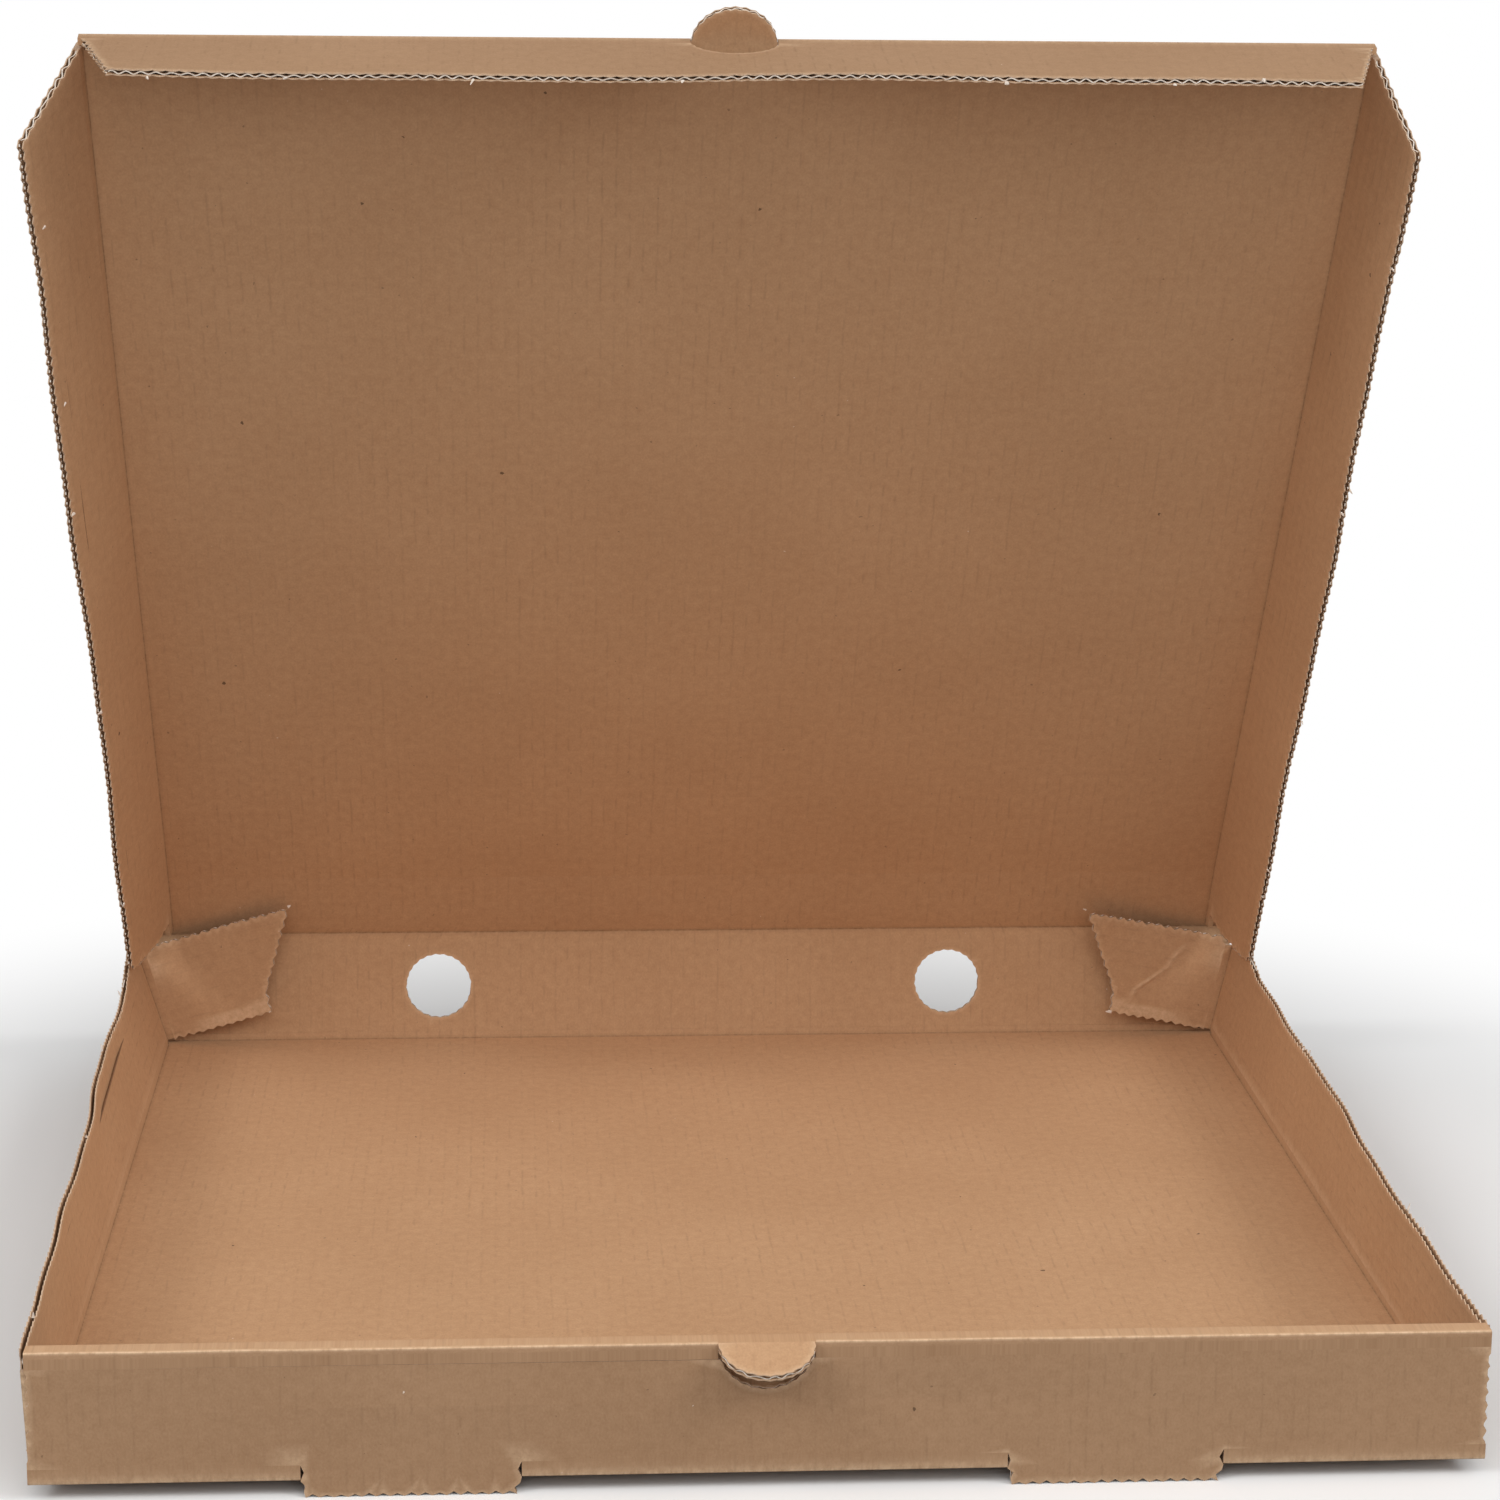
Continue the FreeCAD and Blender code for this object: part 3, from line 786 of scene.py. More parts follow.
def throughTable(table, x):
    # a smooth curve through a table of (place, value) pairs
    places, values = np.array(table, float).T
    slopes = np.gradient(values, places)
    x = np.clip(np.asarray(x, float), places[0], places[-1])
    k = np.clip(np.searchsorted(places, x) - 1, 0, len(places) - 2)
    run = places[k + 1] - places[k]
    t = (x - places[k]) / run
    return ((1 + 2 * t) * (1 - t) ** 2 * values[k] + t * (1 - t) ** 2 * run * slopes[k]
            + t * t * (3 - 2 * t) * values[k + 1] + t * t * (t - 1) * run * slopes[k + 1])


def ripples(x, waves):
    # slow waves in the board, each with its rate along x, its start and its height
    return sum(height * np.sin(x * rate + start) for rate, start, height in waves)


def smooth(x, low, high):
    t = np.clip((x - low) / (high - low), 0, 1)
    return t * t * (3 - 2 * t)


# tray
tray = {
    "halfWidth": 0.150,
    "halfDepth": 0.150,
    "frontHeight": 0.0285,
    "sideHeight": 0.0285,
    "frontRoll": 0.005,
    "footSpacing": 0.145,
    "footWidth": 0.045,
    "footDrop": 0.0036,
    "footSlant": 0.001,
    "slotGap": 0.0002,
    "lockWidth": 0.043,
    "thumbRadius": 0.010,
    "thumbDroop": math.radians(20),
    "ventSpacing": 0.145,
    "ventRadius": 0.009,
    "ventHeight": 0.0165,
    "sideRearEnd": 0.1464,
    "tuckLength": 0.060,
    "tuckHeight": 0.024,
    "tuckGap": 0.0002,
    "leftLean": ((-0.150, 0.0012), (-0.118, 0.0022), (-0.072, 0.0029), (-0.010, 0.0044), (0.047, 0.0071),
                 (0.100, 0.0080), (0.150, 0.0086)),
    "rightLean": ((-0.150, 0.0006), (-0.125, 0.0001), (-0.091, 0.0), (0.006, 0.0032), (0.080, 0.0050),
                  (0.150, 0.0064)),
    "rearRise": 0.0028,
    "riseStart": 0.112,
}
half, depth = tray["halfWidth"], tray["halfDepth"]
floorTop = thick
rearLean = lidHinge[1] - depth
rearUp = unit((0, rearLean, lidHinge[2]))
rearOut = np.cross(rearUp, xAxis)
footMiddles = [s * tray["footSpacing"] / 2 for s in (-1, 1)]
footSpans = [(x - tray["footWidth"] / 2, x + tray["footWidth"] / 2) for x in footMiddles]


def leanAt(side, y):
    # how far a side wall's top stands out at y, as an angle from upright
    table = tray["leftLean"] if side < 0 else tray["rightLean"]
    return np.arcsin(throughTable(table, y) / tray["sideHeight"])


def sidePlace(side):
    # places a side wall: up from the floor's corner, along the box, and outwards
    def place(p):
        y = p[:, 1]
        lean = leanAt(side, y)
        up = np.column_stack((side * np.sin(lean), np.zeros(len(p)), np.cos(lean)))
        out = np.column_stack((side * np.cos(lean), np.zeros(len(p)), -np.sin(lean)))
        corner = np.column_stack((np.full(len(p), side * (half - thick)), y, np.full(len(p), floorTop)))
        return corner + up * p[:, :1] + out * p[:, 2:3]
    return place


def addBase(pieces):
    edge = depth - thick - reach
    side = half - thick - reach
    slotRear = -depth + tray["frontRoll"] + tray["slotGap"]
    outline = [((-side, -edge), "fold")]
    for low, high in footSpans:
        outline += [((low, -edge), "cut"), ((low, slotRear), "cut"),
                    ((high, slotRear), "cut"), ((high, -edge), "fold")]
    outline += [((side, -edge), "fold")]
    wide, sideEnd = half - thick, tray["sideRearEnd"] - reach
    outline += [((side, sideEnd), "fold"), ((wide, sideEnd), "fold"), ((wide, edge), "fold"),
                ((-wide, edge), "fold"), ((-wide, sideEnd), "fold"), ((-side, sideEnd), "fold")]
    place = flatPlace((0, 0, floorTop), xAxis, yAxis, -zAxis)

    def sag(x, y):
        ripple = np.sin(x * 31 + 1.0) * np.sin(y * 23 + 0.4) * 0.00018
        return ripple * smooth(side - np.abs(x), 0, 0.03) * smooth(edge - np.abs(y), 0, 0.03)
    addBoard(pieces, outline, place, (0, 0), bend=sag)


def addFrontWall(pieces):
    top = tray["frontHeight"] - thick
    place = flatPlace((0, -depth + thick, 0), xAxis, zAxis, -yAxis)
    base, crown = floorTop + reach, top - reach
    notch = tray["thumbRadius"]
    drop = math.asin((tray["frontHeight"] - crown) / notch)
    outline = [((-half, base), "fold")]
    for low, high in footSpans:
        outline += [((low, base), "cut"), ((low, 0), "cut"),
                    ((low + tray["footSlant"], -tray["footDrop"]), "cut"),
                    ((high - tray["footSlant"], -tray["footDrop"]), "cut"),
                    ((high, 0), "cut"), ((high, base), "fold")]
    outline += [((half, base), "cut"), ((half, crown), "fold")]
    arc = circleLoop((0, tray["frontHeight"]), notch, -drop, -(math.pi - 2 * drop))
    outline += arc[:-1] + [(arc[-1][0], "fold"), ((-half, crown), "cut")]

    def bow(x, z):
        wave = ripples(x, ((37, 0.8, 0.00022), (14, 0, 0.00015)))
        return -wave * smooth(z, base, base + 0.012) * smooth(crown - z, 0, 0.01)
    addBoard(pieces, outline, place, (0, -depth), bend=bow)


def addRoll(pieces):
    # the front wall's top: out over the edge, a narrow flat strip, and down inside
    outerY, innerY = -depth, -depth + tray["frontRoll"]
    top = tray["frontHeight"]
    y0, y1 = outerY + thick, innerY - thick
    low = top - thick - reach

    def section(x):
        dent = float(ripples(x, ((41, 0.6, 0.00022), (163, 0, 0.00012))))

        def at(y, z):
            return np.array((x, y, z))
        inner = [at(y0, low)] + creasePath(at(y0, top - thick - 0.0006), at(y0, top - thick),
                                           at(y0 + 0.0006, top - thick))[2:7]
        inner += creasePath(at(y1 - 0.0006, top - thick), at(y1, top - thick),
                            at(y1, top - thick - 0.0006))[2:7] + [at(y1, low)]
        edge = creasePath(at(outerY, top - 0.0021), at(outerY + abs(dent), top + dent * 0.3),
                          at(outerY + 0.0018, top), 0.28)
        outer = [at(outerY, low)] + edge[1:8]
        outer += creasePath(at(innerY - 0.0012, top), at(innerY, top), at(innerY, top - 0.0012), 0.5)[2:7]
        return inner[:1] * 2 + inner[1:] + inner[-1:], outer + [at(innerY, low)], x

    def tabSection(x):
        # behind the thumb tab the strip has no outer face to fold down
        inner, outer, _ = section(x)
        inner = [np.array((x, outerY, top - thick))] * 7 + inner[7:]
        outer = [np.array((x, outerY, top))] * 8 + outer[8:]
        return inner, outer, x

    valley = [0.0] * 14
    # paler along the strip's front edge and its inner corner: partly rubbed wear, partly a painted highlight
    ridge = (0, 0, 0.1, 0.5, 1, 0.9, 0.45, 0.2, 0.15, 0.15, 0.3, 0.2, 0, 0)
    sheetStart = (0, -depth - 0.03)
    # the strip's outward face is the front wall's outer liner, but above its lowest rows, and behind the
    # thumb tab, it takes the paler inner paper: painted light on a face turned up
    for start, end in ((-half, -tray["thumbRadius"]), (tray["thumbRadius"], half)):
        count = 40
        sections = [section(start + (end - start) * k / count) for k in range(count + 1)]
        addFold(pieces, sections, False, sheetStart, valley, ridge, outerRows=4)
    radius = tray["thumbRadius"]
    sections = [tabSection(-radius + 2 * radius * k / 4) for k in range(5)]
    addFold(pieces, sections, False, sheetStart, valley, valley, "inner")


def addThumbTab(pieces):
    droop, radius = tray["thumbDroop"], tray["thumbRadius"]
    out = np.array((0, -math.cos(droop), -math.sin(droop)))
    up = np.array((0, -math.sin(droop), math.cos(droop)))
    edge = np.array((0, -depth, tray["frontHeight"]))
    place = flatPlace(edge - up * thick, xAxis, out, up)
    outline = [((-radius, -0.0001), "fold"), ((radius, -0.0001), "cut")]
    outline += circleLoop((0, 0), radius - board["toothDepth"] * 0.3, 0.0, math.pi)[:-1]
    # the tab's top is the front wall's outer liner but takes the paler inner paper: painted light on a face
    # turned up
    addBoard(pieces, outline, place, (0, -depth - 0.02), outerFace="inner")


def addInnerFrontWall(pieces):
    place = flatPlace((0, -depth + tray["frontRoll"] - thick, 0), xAxis, zAxis, yAxis)
    end = half - thick - 0.0003
    crown = tray["frontHeight"] - thick - reach
    outline = [((-end, floorTop), "cut")]
    for middle in footMiddles:
        low = middle - tray["lockWidth"] / 2
        high = low + tray["lockWidth"]
        outline += [((low, floorTop), "cut"), ((low, 0), "cut"),
                    ((high, 0), "cut"), ((high, floorTop), "cut")]
    outline += [((end, floorTop), "cut"), ((end, crown), "fold"), ((-end, crown), "cut")]
    addBoard(pieces, outline, place, (0, -depth - 0.07))


def addRearWall(pieces):
    width, crown = half, hingeBand["halfWidth"]
    corner = np.array((0, depth - thick + rearLean * floorTop / lidHinge[2], floorTop))
    place = flatPlace(corner, xAxis, rearUp, rearOut)
    tall = (lidHinge[2] - floorTop) / rearUp[2]
    ventUp = (tray["ventHeight"] - floorTop) / rearUp[2]
    outline = [((-width, reach), "fold"), ((width, reach), "cut"),
               ((crown, tall - 0.009), "cut"), ((crown, tall - hingeBand["below"]), "fold"),
               ((-crown, tall - hingeBand["below"]), "cut"), ((-crown, tall - 0.009), "cut")]
    vents = [circleLoop((s * tray["ventSpacing"] / 2, ventUp), tray["ventRadius"]) for s in (-1, 1)]
    addBoard(pieces, outline, place, (0, depth - thick), holes=vents)


def addSideWall(pieces, side):
    tall = tray["sideHeight"] - thick
    front, rear = -depth + thick + reach, tray["sideRearEnd"] - reach
    rise = tray["riseStart"]
    outline = [((reach, front), "cut"), ((tall, front), "cut"), ((tall, rise), "cut"),
               ((tall + tray["rearRise"], rear - 0.012), "cut"), ((tall + tray["rearRise"], rear), "fold"),
               ((reach, rear), "fold")]

    def ripple(u, y):
        wave = ripples(y, ((61, side, 0.00035), (143, 2 * side, 0.0002)))
        return wave * smooth(u, 0.004, tall) * smooth(y, front, front + 0.03) * smooth(rear - y, 0, 0.03)

    # a paler band along the wall's foot
    def paleFootBand(u, y):
        return (0.55 if side > 0 else 0.25) * smooth(0.0030 + 0.0006 * np.sin(y * 90) - u, 0, 0.0008)
    addBoard(pieces, outline, sidePlace(side), (side * half, 0), bend=ripple, shade=paleFootBand, step=0.005)
    spots = [(tall, y) for y in (draw.uniform(front, rise) for _ in range(4))]
    addTags(pieces, spots, sidePlace(side), (side * half, 0), -math.pi / 2, 11 + side)


def tuckPlace(side):
    corner = (side * (half - thick), -depth + 2 * thick + tray["tuckGap"], floorTop)
    return flatPlace(corner, zAxis, -side * xAxis, -yAxis)


def addTuckFlap(pieces, side):
    # runs on from the side wall's front end, behind the outer front wall
    place, wall = tuckPlace(side), sidePlace(side)
    end = tray["tuckLength"] - thick
    low, high = tray["tuckGap"], tray["tuckHeight"] - thick
    outline = [((low, reach), "cut"), ((low, end), "cut"), ((high, end), "cut"), ((high, reach), "fold")]
    addBoard(pieces, outline, place, (side * half, -depth))
    front = -depth + thick + reach
    stations = []
    for k in range(9):
        u = low + (high - low) * k / 8
        wallInner, wallOuter, wallCorner = wall(np.array([(u, front, 0), (u, front, thick),
                                                          (u, front - reach, 0)]))
        flapInner, flapOuter = place(np.array([(u, reach, 0), (u, reach, thick)]))
        inner = creasePath(wallInner, np.array((wallCorner[0], flapInner[1], wallCorner[2])), flapInner, 0.3)
        outer = creasePath(wallOuter, np.array((wallOuter[0], flapOuter[1], wallOuter[2])), flapOuter, 0.5)
        stations.append((inner, outer, u))
    addFold(pieces, stations, False, (side * half, -depth))


def addFloorFolds(pieces):
    # the folds between the floor and its four walls
    front = np.array((0, -depth + thick, floorTop))
    rear = np.array((0, depth - thick, floorTop))
    xs = [-half] + [x for span in footSpans for x in span] + [half]
    for start, end in zip(xs[::2], xs[1::2]):
        stations = []
        for k in range(13):
            x = start + (end - start) * k / 12
            stations.append(foldStation(front + xAxis * x, yAxis, -zAxis, zAxis, -yAxis, x))
        addFold(pieces, stations, False, (0, -depth))
    stations = []
    for k in range(25):
        x = half * (k / 12 - 1)
        stations.append(foldStation(rear + xAxis * x, -yAxis, -zAxis, rearUp, rearOut, x))
    addFold(pieces, stations, False, (0, depth - thick - reach))
    for side in (-1, 1):
        stations = []
        first, last = -depth + thick, tray["sideRearEnd"] - reach
        for k in range(33):
            y = first + (last - first) * k / 32
            lean = float(leanAt(side, y))
            up = np.array((side * math.sin(lean), 0, math.cos(lean)))
            out = np.array((side * math.cos(lean), 0, -math.sin(lean)))
            corner = np.array((side * (half - thick), y, floorTop))
            stations.append(foldStation(corner, -side * xAxis, -zAxis, up, out, y))
        addFold(pieces, stations, True, (side * half, 0))


hingeBand = {
    "below": 0.0025,
    "above": 0.0026,
    "sections": 60,
    "halfWidth": 0.1545,
    "lidHalfWidth": 0.1512,
}


def makeTray():
    pieces = Pieces()
    addBase(pieces)
    addFrontWall(pieces)
    addRoll(pieces)
    addThumbTab(pieces)
    addInnerFrontWall(pieces)
    addRearWall(pieces)
    for side in (-1, 1):
        addSideWall(pieces, side)
        addTuckFlap(pieces, side)
    addFloorFolds(pieces)
    handOver(pieces.build("tray_board"), "tray")


# lid
lid = {
    "thumbRadius": 0.010,
    "flapDepth": 0.028,
    "frontSpread": math.radians(18),
    "leftSpread": math.radians(18),
    "rightSpread": math.radians(14),
    "flapGap": 0.00015,
    "sideFrontCut": 0.0095,
    "sideRearEnd": 0.0120,
    "sideCorner": 0.004,
    "foldTongue": 0.0019,
    "leftTwist": 0.0036,
    "frontMitre": 0.008,
    "bow": 0.0006,
    "ridgeBulge": 0.0003,
    "cornerClear": 0.0069,
    "tagPlaces": (-0.130, -0.100, -0.059, -0.013, 0.059, 0.0965, 0.1165),
}


def footSag(s):
    # how far the lid's board bends inwards just above the hinge crease, to meet the rear wall's inner face
    return -thick * 0.83 * (1 - smooth(s, 0.0008, 0.024))


def sagged(place):
    # the lid's own sheet coordinates, with its foot bent in
    def placeSagged(p):
        return place(p) + footSag(p[:, 1:2]) * lidOut
    return placeSagged


def foldedFrom(direction, spread):
    # direction and outer face of a flap folded from the lid past its edge
    foldTurn = math.pi / 2 - spread
    along = direction * math.cos(foldTurn) - lidOut * math.sin(foldTurn)
    outward = lidOut * math.cos(foldTurn) + direction * math.sin(foldTurn)
    return along, outward


def addLidPanel(pieces):
    side, front = lidHalf - reach, lidLength - reach
    radius = lid["thumbRadius"]
    outline = [((-side, hingeBand["above"]), "fold"), ((side, hingeBand["above"]), "fold"),
               ((side, front), "fold"), ((radius, front), "cut")]
    outline += circleLoop((0, lidLength), radius - board["toothDepth"] * 0.3, 0.0, math.pi)[:-1]
    outline += [((-radius, lidLength), "cut"), ((-radius, front), "fold"), ((-side, front), "fold")]
    place = sagged(flatPlace(lidHinge, xAxis, lidAlong, lidOut))

    def bow(x, s):
        swell = -lid["bow"] * np.cos(x / side * math.pi / 2) * np.sin(np.clip(s / lidLength, 0, 1) * math.pi)
        ripple = np.sin(x * 27 + 0.5) * np.sin(s * 19 + 1.1) * 0.00022
        margin = smooth(side - np.abs(x), 0, 0.03) * smooth(front - s, 0, 0.03) * smooth(s, 0.0025, 0.04)
        return (swell + ripple) * margin
    addBoard(pieces, outline, place, (0, lidSheet), bend=bow)


def makeLid():
    pieces = Pieces()
    addLidPanel(pieces)
    handOver(pieces.build("lid_board"), "lid")


def makeLidFrontFlap():
    along, outward = foldedFrom(lidAlong, lid["frontSpread"])
    place = flatPlace(lidFold, xAxis, along, outward)
    top, foot, deep = lidHalf - lid["flapGap"], lidHalf - lid["frontMitre"], lid["flapDepth"]
    notch = lid["thumbRadius"] + lid["flapGap"]
    dip = math.asin(reach / notch)
    outline = [((top, reach), "cut"), ((foot, deep), "cut"), ((-foot, deep), "cut"), ((-top, reach), "fold")]
    arc = circleLoop((0, 0), notch, math.pi - dip, -(math.pi - 2 * dip))
    outline += arc[:-1] + [(arc[-1][0], "fold")]

    def ripple(x, v):
        wave = ripples(x, ((33, 0.3, 0.0004), (71, 0, 0.0002)))
        return wave * smooth(v, 0.004, deep)
    pieces = Pieces()
    addBoard(pieces, outline, place, (0, lidSheet + lidLength), bend=ripple, step=0.005)
    addTags(pieces, [(x, deep) for x in lid["tagPlaces"]], place, (0, depth), 0.0, 5, 0.0013)
    handOver(pieces.build("lid_front_flap_board"), "lid_front_flap")


def makeLidSideFlap(side, word):
    along, outward = foldedFrom(side * xAxis, lid[f"{word}Spread"])
    corner = lidHinge + side * lidHalf * xAxis
    place = sagged(flatPlace(corner, along, lidAlong, outward))
    deep, nick = lid["flapDepth"], lid["sideCorner"]
    rearEnd, frontCut = lid["sideRearEnd"], lid["sideFrontCut"]
    outline = [
        ((reach, lid["cornerClear"]), "cut"),
        ((0.0100, lid["cornerClear"] + 0.0004), "cut"),
        ((deep - nick, rearEnd), "cut"),
        ((deep - nick * 0.35, rearEnd + nick * 0.35), "cut"),
        ((deep, rearEnd + nick), "cut"),
        ((deep, lidLength - frontCut - 0.0015), "cut"),
        ((deep - 0.0009, lidLength - frontCut), "cut"),
        ((reach, lidLength - frontCut * reach / deep), "fold"),
    ]
    twist = lid["leftTwist"] if side < 0 else 0.0

    def ripple(u, s):
        wave = ripples(s, ((47, side * 0.7, 0.0004), (118, 1, 0.00018)))
        open_ = twist * smooth(s, 0.05, lidLength) * (u - reach) / deep
        return wave * smooth(u, 0.004, deep) * smooth(s, rearEnd, 0.05) + open_
    pieces = Pieces()
    addBoard(pieces, outline, place, (side * lidHalf, lidSheet), bend=ripple, step=0.005)
    spots = [(deep, draw.uniform(0.03, lidLength - 0.02)) for _ in range(7)]
    addTags(pieces, spots, place, (side * lidHalf, depth), -math.pi / 2, 21 + side)
    handOver(pieces.build(f"lid_{word}_flap_board"), f"lid_{word}_flap")


def makeLidFolds():
    # rounded folds from the lid to its three flaps
    along, outward = foldedFrom(lidAlong, lid["frontSpread"])
    pieces = Pieces()
    radius = lid["thumbRadius"]
    for start, end in ((-lidHalf - 0.0007, -radius), (radius, lidHalf + 0.0007)):
        stations = []
        for k in range(19):
            x = start + (end - start) * k / 18
            stations.append(foldStation(lidFold + xAxis * x, -lidAlong, lidOut, along, outward, x,
                                        lid["ridgeBulge"]))
        addFold(pieces, stations, False, (0, lidSheet + lidLength))
    start = lidFold - lidAlong * reach + lidOut * thick / 2
    end = lidFold + along * reach + outward * thick / 2
    bendBetween(pieces.build("lid_front_fold"), start, end)
    for side, word in ((-1, "left"), (1, "right")):
        along, outward = foldedFrom(side * xAxis, lid[f"{word}Spread"])
        corner = lidHinge + side * lidHalf * xAxis
        first, last = lid["foldTongue"], lidLength - 0.0009
        stations = []
        for k in range(41):
            s = first + (last - first) * k / 40
            foot = corner + lidAlong * s + lidOut * float(footSag(s))
            stations.append(foldStation(foot, -side * xAxis, lidOut, along, outward, s, lid["ridgeBulge"]))
        pieces = Pieces()
        addFold(pieces, stations, True, (side * lidHalf, lidSheet))
        middle = corner + lidAlong * lidLength / 2
        start = middle - side * xAxis * reach + lidOut * thick / 2
        end = middle + along * reach + outward * thick / 2
        bendBetween(pieces.build(f"lid_{word}_fold"), start, end)


def makeHingeFold():
    # the long fold from the rear wall up into the lid
    below, above = hingeBand["below"], hingeBand["above"]
    wallTop = np.array((0, lidHinge[1] - thick, lidHinge[2]))
    lidStart = lidHinge + lidAlong * above + lidOut * float(footSag(above))
    stations = []
    for k in range(hingeBand["sections"] + 1):
        share = 2 * k / hingeBand["sections"] - 1
        low, high = xAxis * hingeBand["halfWidth"] * share, xAxis * hingeBand["lidHalfWidth"] * share
        middle = (low + high) / 2
        inner = creasePath(wallTop + low - rearUp * below, wallTop + middle, lidStart + high, 0.15)
        outer = creasePath(lidHinge + low - rearUp * below, lidHinge + middle + zAxis * 0.0005,
                           lidStart + high + lidOut * thick, 0.4)
        stations.append((inner, outer, low[0]))
    pieces = Pieces()
    addFold(pieces, stations, False, (0, depth - thick + (lidHinge[2] - floorTop) / rearUp[2] - below))
    start = lidHinge - rearUp * below - yAxis * thick / 2
    end = lidHinge + lidAlong * above + lidOut * thick / 2
    bendBetween(pieces.build("lid_hinge_fold"), start, end)


# dust flaps at the rear corners
cornerFlap = {
    "length": 0.046,
    "foot": 0.031,
    "height": 0.028,
    "notch": 0.007,
    "hook": 0.001,
    "bevel": 0.005,
    "leftLean": math.radians(17.5),
    "rightLean": math.radians(13),
    "splay": math.radians(8),
    "rootDrop": 0.0022,
}


def turnAbout(vector, axis, angle):
    axis = unit(axis)
    return (vector * math.cos(angle) + np.cross(axis, vector) * math.sin(angle)
            + axis * np.dot(axis, vector) * (1 - math.cos(angle)))


def cornerFrame(side):
    # the flap's foot corner on its front face, its length, its height and the way its rear face looks
    length, up = -side * xAxis, zAxis
    lean = cornerFlap["leftLean" if side < 0 else "rightLean"]
    for axis, angle in ((yAxis * side, lean), (zAxis * side, cornerFlap["splay"])):
        length, up = turnAbout(length, axis, angle), turnAbout(up, axis, angle)
    back = np.cross(up, length) * -side
    if back[1] < 0:
        back = -back
    word = "left" if side < 0 else "right"
    pivot = np.array(joints[f"{word}_corner_flap_fold"]["pos_m"], float)
    return pivot - back * thick, length, up, back


def makeCornerFlap(side, word):
    corner, length, up, back = cornerFrame(side)
    place = flatPlace(corner, up, length, back)
    c = cornerFlap
    outline = [
        ((0, reach), "cut"),
        ((0, c["foot"]), "cut"),
        ((c["notch"], c["foot"] + c["hook"]), "cut"),
        ((c["height"], c["length"]), "cut"),
        ((c["height"], c["bevel"]), "cut"),
        ((c["height"] - 0.0002, c["bevel"] - 0.0015), "cut"),
        ((c["height"] - c["rootDrop"], reach), "fold"),
    ]

    def tornLine(u, v):
        # how near a point is to the crease that runs slantwise over the right flap
        bent = (v - 0.013) - (c["height"] - 0.005 - u) * 0.75 + 0.0009 * np.sin(u * 520)
        ends = smooth(u, 0.004, 0.007) * smooth(c["height"] - 0.003 - u, 0, 0.003)
        return np.exp(-(bent / 0.0007) ** 2) * ends

    def wrinkle(u, v):
        curl = np.sin(v * 60 + side) * 0.0004 * smooth(v, 0.004, 0.02)
        curl -= 0.0016 * smooth(v, 0.028, c["length"]) * smooth(u, 0.012, c["height"])
        dimple = 0.0006 * np.exp(-((u - 0.022) ** 2 + (v - 0.006) ** 2) / 0.00002)
        return curl + dimple - (0.0003 * tornLine(u, v) if side > 0 else 0.0)

    def scuffed(u, v):
        foot = 0.65 * smooth(0.0035 + 0.0012 * smooth(v, 0.01, 0.03) - u, 0, 0.0006) * smooth(v, 0.006, 0.014)
        crown = 0.9 * np.exp(-((u - 0.0215) ** 2 + (v - 0.0015) ** 2) / 0.00001)
        return foot + crown + (0.6 * tornLine(u, v) if side > 0 else 0.0)
    pieces = Pieces()
    addBoard(pieces, outline, place, (side * half, depth), bend=wrinkle, shade=scuffed, step=0.0012)
    spots = [(c["height"], c["length"] - 0.0006), (0.0004, c["foot"] - 0.0004)]
    addTags(pieces, spots, place, (0, depth), 0.0, 31 + side)
    handOver(pieces.build(f"{word}_corner_flap_board"), f"{word}_corner_flap")


def makeCornerFold(side, word):
    # from the side wall's rear end round into the dust flap
    corner, length, up, back = cornerFrame(side)
    place = sidePlace(side)
    end = tray["sideRearEnd"] - reach
    tall = cornerFlap["height"] - cornerFlap["rootDrop"]
    low, stations = 0.0006, []
    for k in range(13):
        u = low + (tall - low) * k / 12
        wallInner, wallOuter = place(np.array([(u, end, 0.0), (u, end, thick)]))
        flapInner = corner + up * u + length * reach
        flapOuter = flapInner + back * thick
        inner = creasePath(wallInner, corner + up * u, flapInner, 0.15)
        outer = creasePath(wallOuter, corner + up * u + back * thick - length * thick, flapOuter, 0.4)
        stations.append((inner, outer, u))
    pieces = Pieces()
    addFold(pieces, stations, False, (side * half, depth))
    onWall = place(np.array([(tall / 2, end, thick / 2)]))[0]
    onFlap = corner + up * tall / 2 + length * reach + back * thick / 2
    bendBetween(pieces.build(f"{word}_corner_fold"), onWall, onFlap)


makeTray()
makeLid()
makeLidFrontFlap()
for side, word in ((-1, "left"), (1, "right")):
    makeLidSideFlap(side, word)
    makeCornerFlap(side, word)
    makeCornerFold(side, word)
makeLidFolds()
makeHingeFold()
print("flaps and folds made")

# floor, light and camera
studio = {
    "floorSize": 60.0,
    "floorColour": (0.95, 0.95, 0.95),
    "floorBounce": (0.42, 0.42, 0.42),
    "fadeStart": 0.19,
    "fadeEnd": 0.36,
    "worldStrength": 0.25,
    "aim": (0.0, 0.0, 0.06),
    "softboxes": (
        {"at": (0.0, -0.75, 0.60), "size": 0.7, "power": 2.95},
        {"at": (-0.55, -0.25, 0.65), "size": 0.5, "power": 0.9},
        {"at": (0.55, -0.25, 0.65), "size": 0.5, "power": 0.9},
    ),
    "suns": (
        {"from": (-0.95, -0.55, 0.85), "strength": 0.72, "angle": 22},
        {"from": (0.95, -0.55, 0.85), "strength": 0.80, "angle": 22},
    ),
}

view = {
    "position": (-0.0508, -0.8387, 0.3071),
    "yaw": math.radians(3.833),
    "pitch": math.radians(-12.65),
    "roll": math.radians(0.542),
    "lens": 86.6,
    "sensor": 36.0,
}


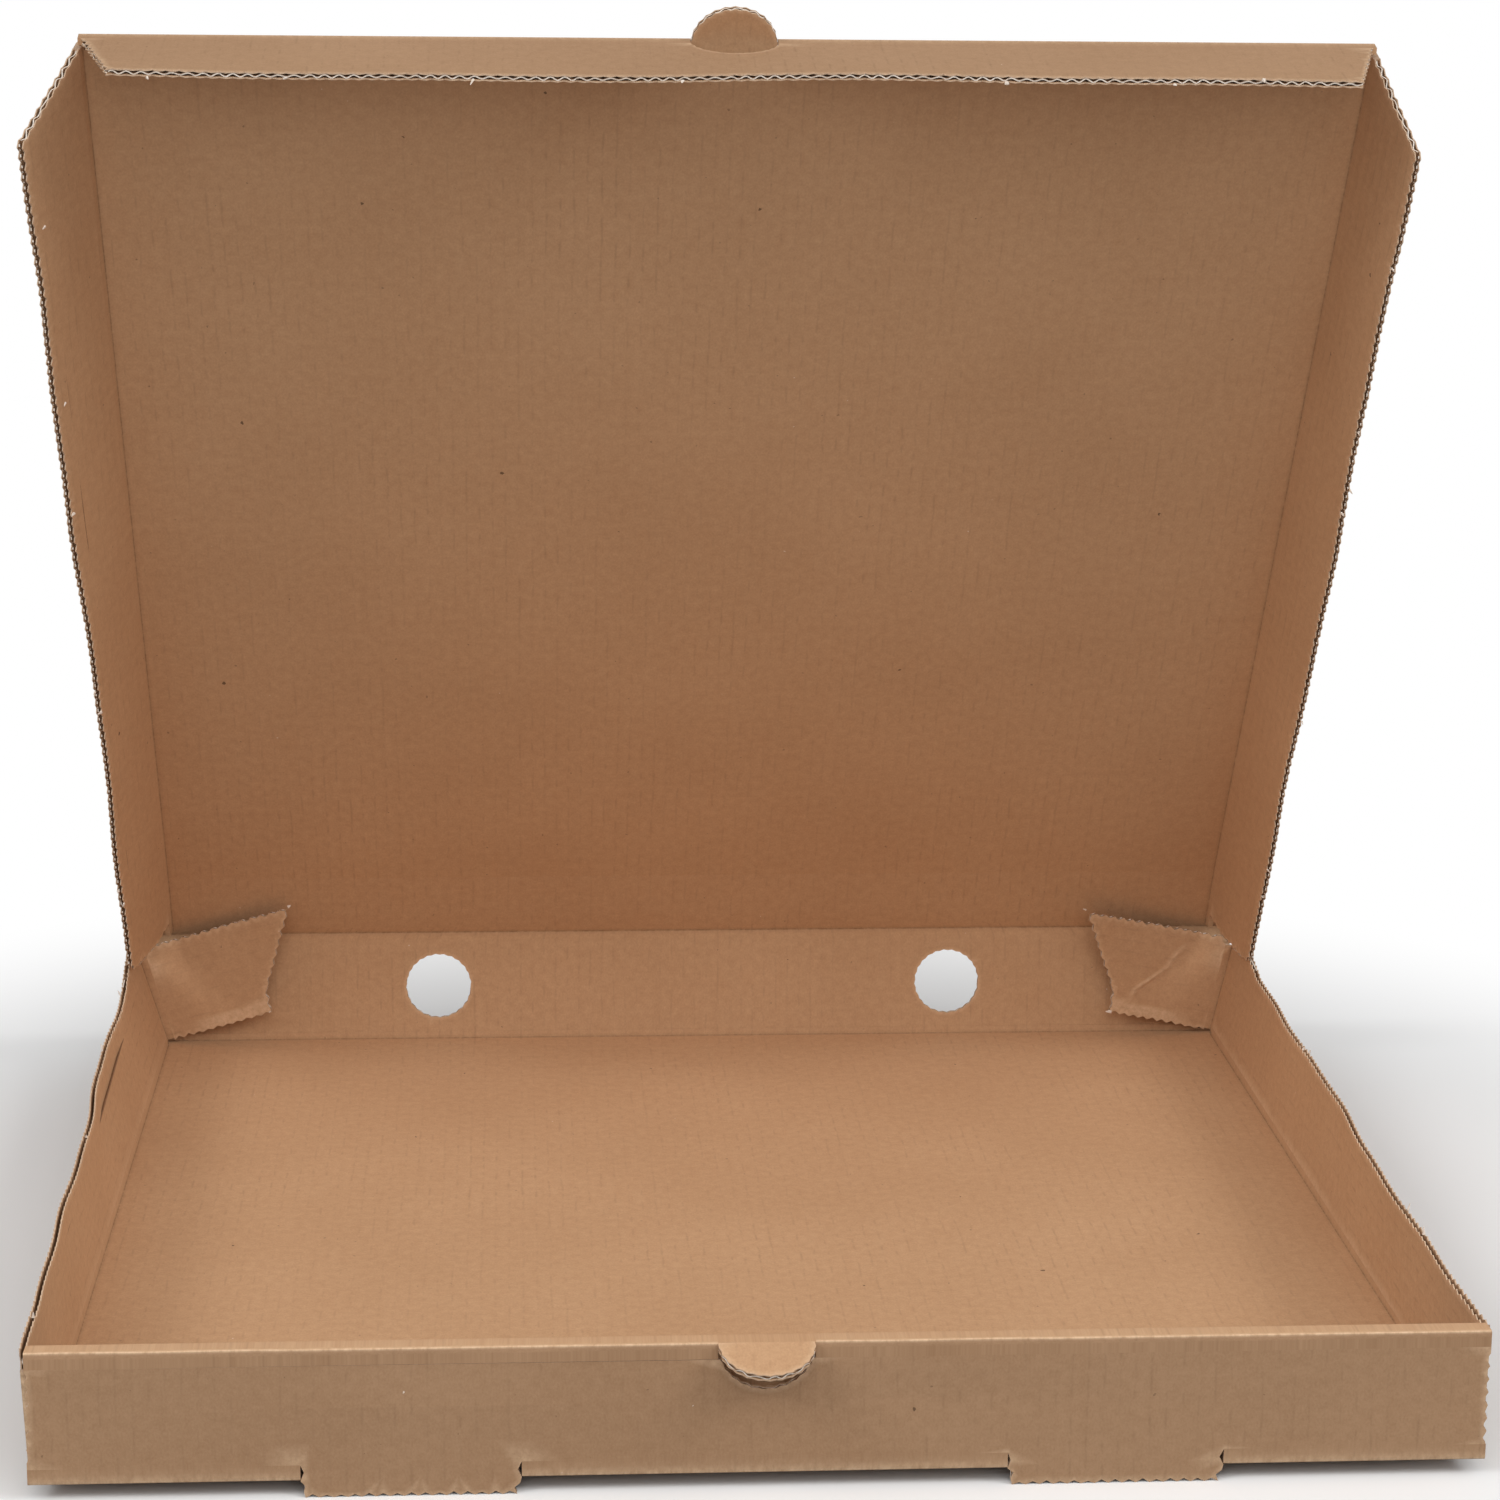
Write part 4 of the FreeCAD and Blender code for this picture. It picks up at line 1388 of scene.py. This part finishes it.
def seenDirectly(tree):
    # 1 for rays of the camera, and for those that mirrors and glass send on
    path = tree.nodes.new("ShaderNodeLightPath")
    direct = mathNode(tree, "MAXIMUM", path.outputs["Is Camera Ray"], path.outputs["Is Glossy Ray"])
    return mathNode(tree, "MAXIMUM", direct, path.outputs["Is Transmission Ray"])


def mixShaders(tree, factor, first, second, output):
    mix = addNode(tree, "ShaderNodeMixShader", {0: factor, 1: first.outputs[0], 2: second.outputs[0]})
    tree.links.new(mix.outputs[0], tree.nodes[output].inputs["Surface"])


def makeFloor():
    size, level = studio["floorSize"], -tray["footDrop"]
    mesh = bpy.data.meshes.new("studio_floor")
    corners = [(-size, -size, level), (size, -size, level), (size, size, level), (-size, size, level)]
    mesh.from_pydata(corners, [], [(0, 1, 2, 3)])
    material = bpy.data.materials.new("studioFloor")
    material.use_nodes = True
    tree = material.node_tree
    shader = tree.nodes["Principled BSDF"]
    shader.inputs["Roughness"].default_value = 0.9
    shader.inputs["Specular IOR Level"].default_value = 0.1
    direct = seenDirectly(tree)
    colour = mixColours(tree, direct, studio["floorBounce"], studio["floorColour"])
    tree.links.new(colour, shader.inputs["Base Color"])
    # the floor turns into the white backdrop away from the box, for the camera alone
    where = tree.nodes.new("ShaderNodeTexCoord").outputs["Object"]
    far = addNode(tree, "ShaderNodeVectorMath", {0: where}, operation="LENGTH")
    fade = addNode(tree, "ShaderNodeMapRange", {
        "Value": far.outputs["Value"], "From Min": studio["fadeStart"], "From Max": studio["fadeEnd"],
    }, interpolation_type="SMOOTHSTEP")
    backdrop = addNode(tree, "ShaderNodeEmission", {"Strength": 1.0})
    share = mathNode(tree, "MULTIPLY", fade.outputs["Result"], direct)
    mixShaders(tree, share, shader, backdrop, "Material Output")
    mesh.materials.append(material)
    floor = bpy.data.objects.new("studio_floor", mesh)
    bpy.context.scene.collection.objects.link(floor)


def placeLamp(name, lamp, at, facing):
    holder = bpy.data.objects.new(name, lamp)
    holder.location = at
    holder.rotation_mode = "QUATERNION"
    holder.rotation_quaternion = facing.to_track_quat("Z", "Y")
    bpy.context.scene.collection.objects.link(holder)


def makeLight():
    world = bpy.data.worlds.new("studio")
    bpy.context.scene.world = world
    world.use_nodes = True
    tree = world.node_tree
    light = tree.nodes["Background"]
    light.inputs["Color"].default_value = (1, 1, 1, 1)
    light.inputs["Strength"].default_value = studio["worldStrength"]
    seen = addNode(tree, "ShaderNodeBackground", {"Color": (1, 1, 1, 1), "Strength": 1.0})
    mixShaders(tree, seenDirectly(tree), light, seen, "World Output")
    for number, box in enumerate(studio["softboxes"]):
        lamp = bpy.data.lights.new(f"softbox_{number}", "AREA")
        lamp.shape = "SQUARE"
        lamp.size, lamp.energy = box["size"], box["power"]
        placeLamp(f"softbox_{number}", lamp, box["at"], Vector(box["at"]) - Vector(studio["aim"]))
    for number, beam in enumerate(studio["suns"]):
        lamp = bpy.data.lights.new(f"window_{number}", "SUN")
        lamp.energy = beam["strength"]
        lamp.angle = math.radians(beam["angle"])
        placeLamp(f"window_{number}", lamp, (0, 0, 0), Vector(beam["from"]))


def makeCamera():
    data = bpy.data.cameras.new("camera")
    data.lens = view["lens"]
    data.sensor_width = view["sensor"]
    data.sensor_fit = "HORIZONTAL"
    camera = bpy.data.objects.new("camera", data)
    camera.location = view["position"]
    yaw, pitch = view["yaw"], view["pitch"]
    ahead = Vector((math.sin(yaw) * math.cos(pitch), math.cos(yaw) * math.cos(pitch), math.sin(pitch)))
    camera.rotation_mode = "QUATERNION"
    camera.rotation_quaternion = ahead.to_track_quat("-Z", "Y") @ Quaternion((0, 0, 1), view["roll"])
    bpy.context.scene.collection.objects.link(camera)
    bpy.context.scene.camera = camera


makeFloor()
makeLight()
makeCamera()
bpy.context.scene.view_settings.view_transform = "Standard"
print("studio made")
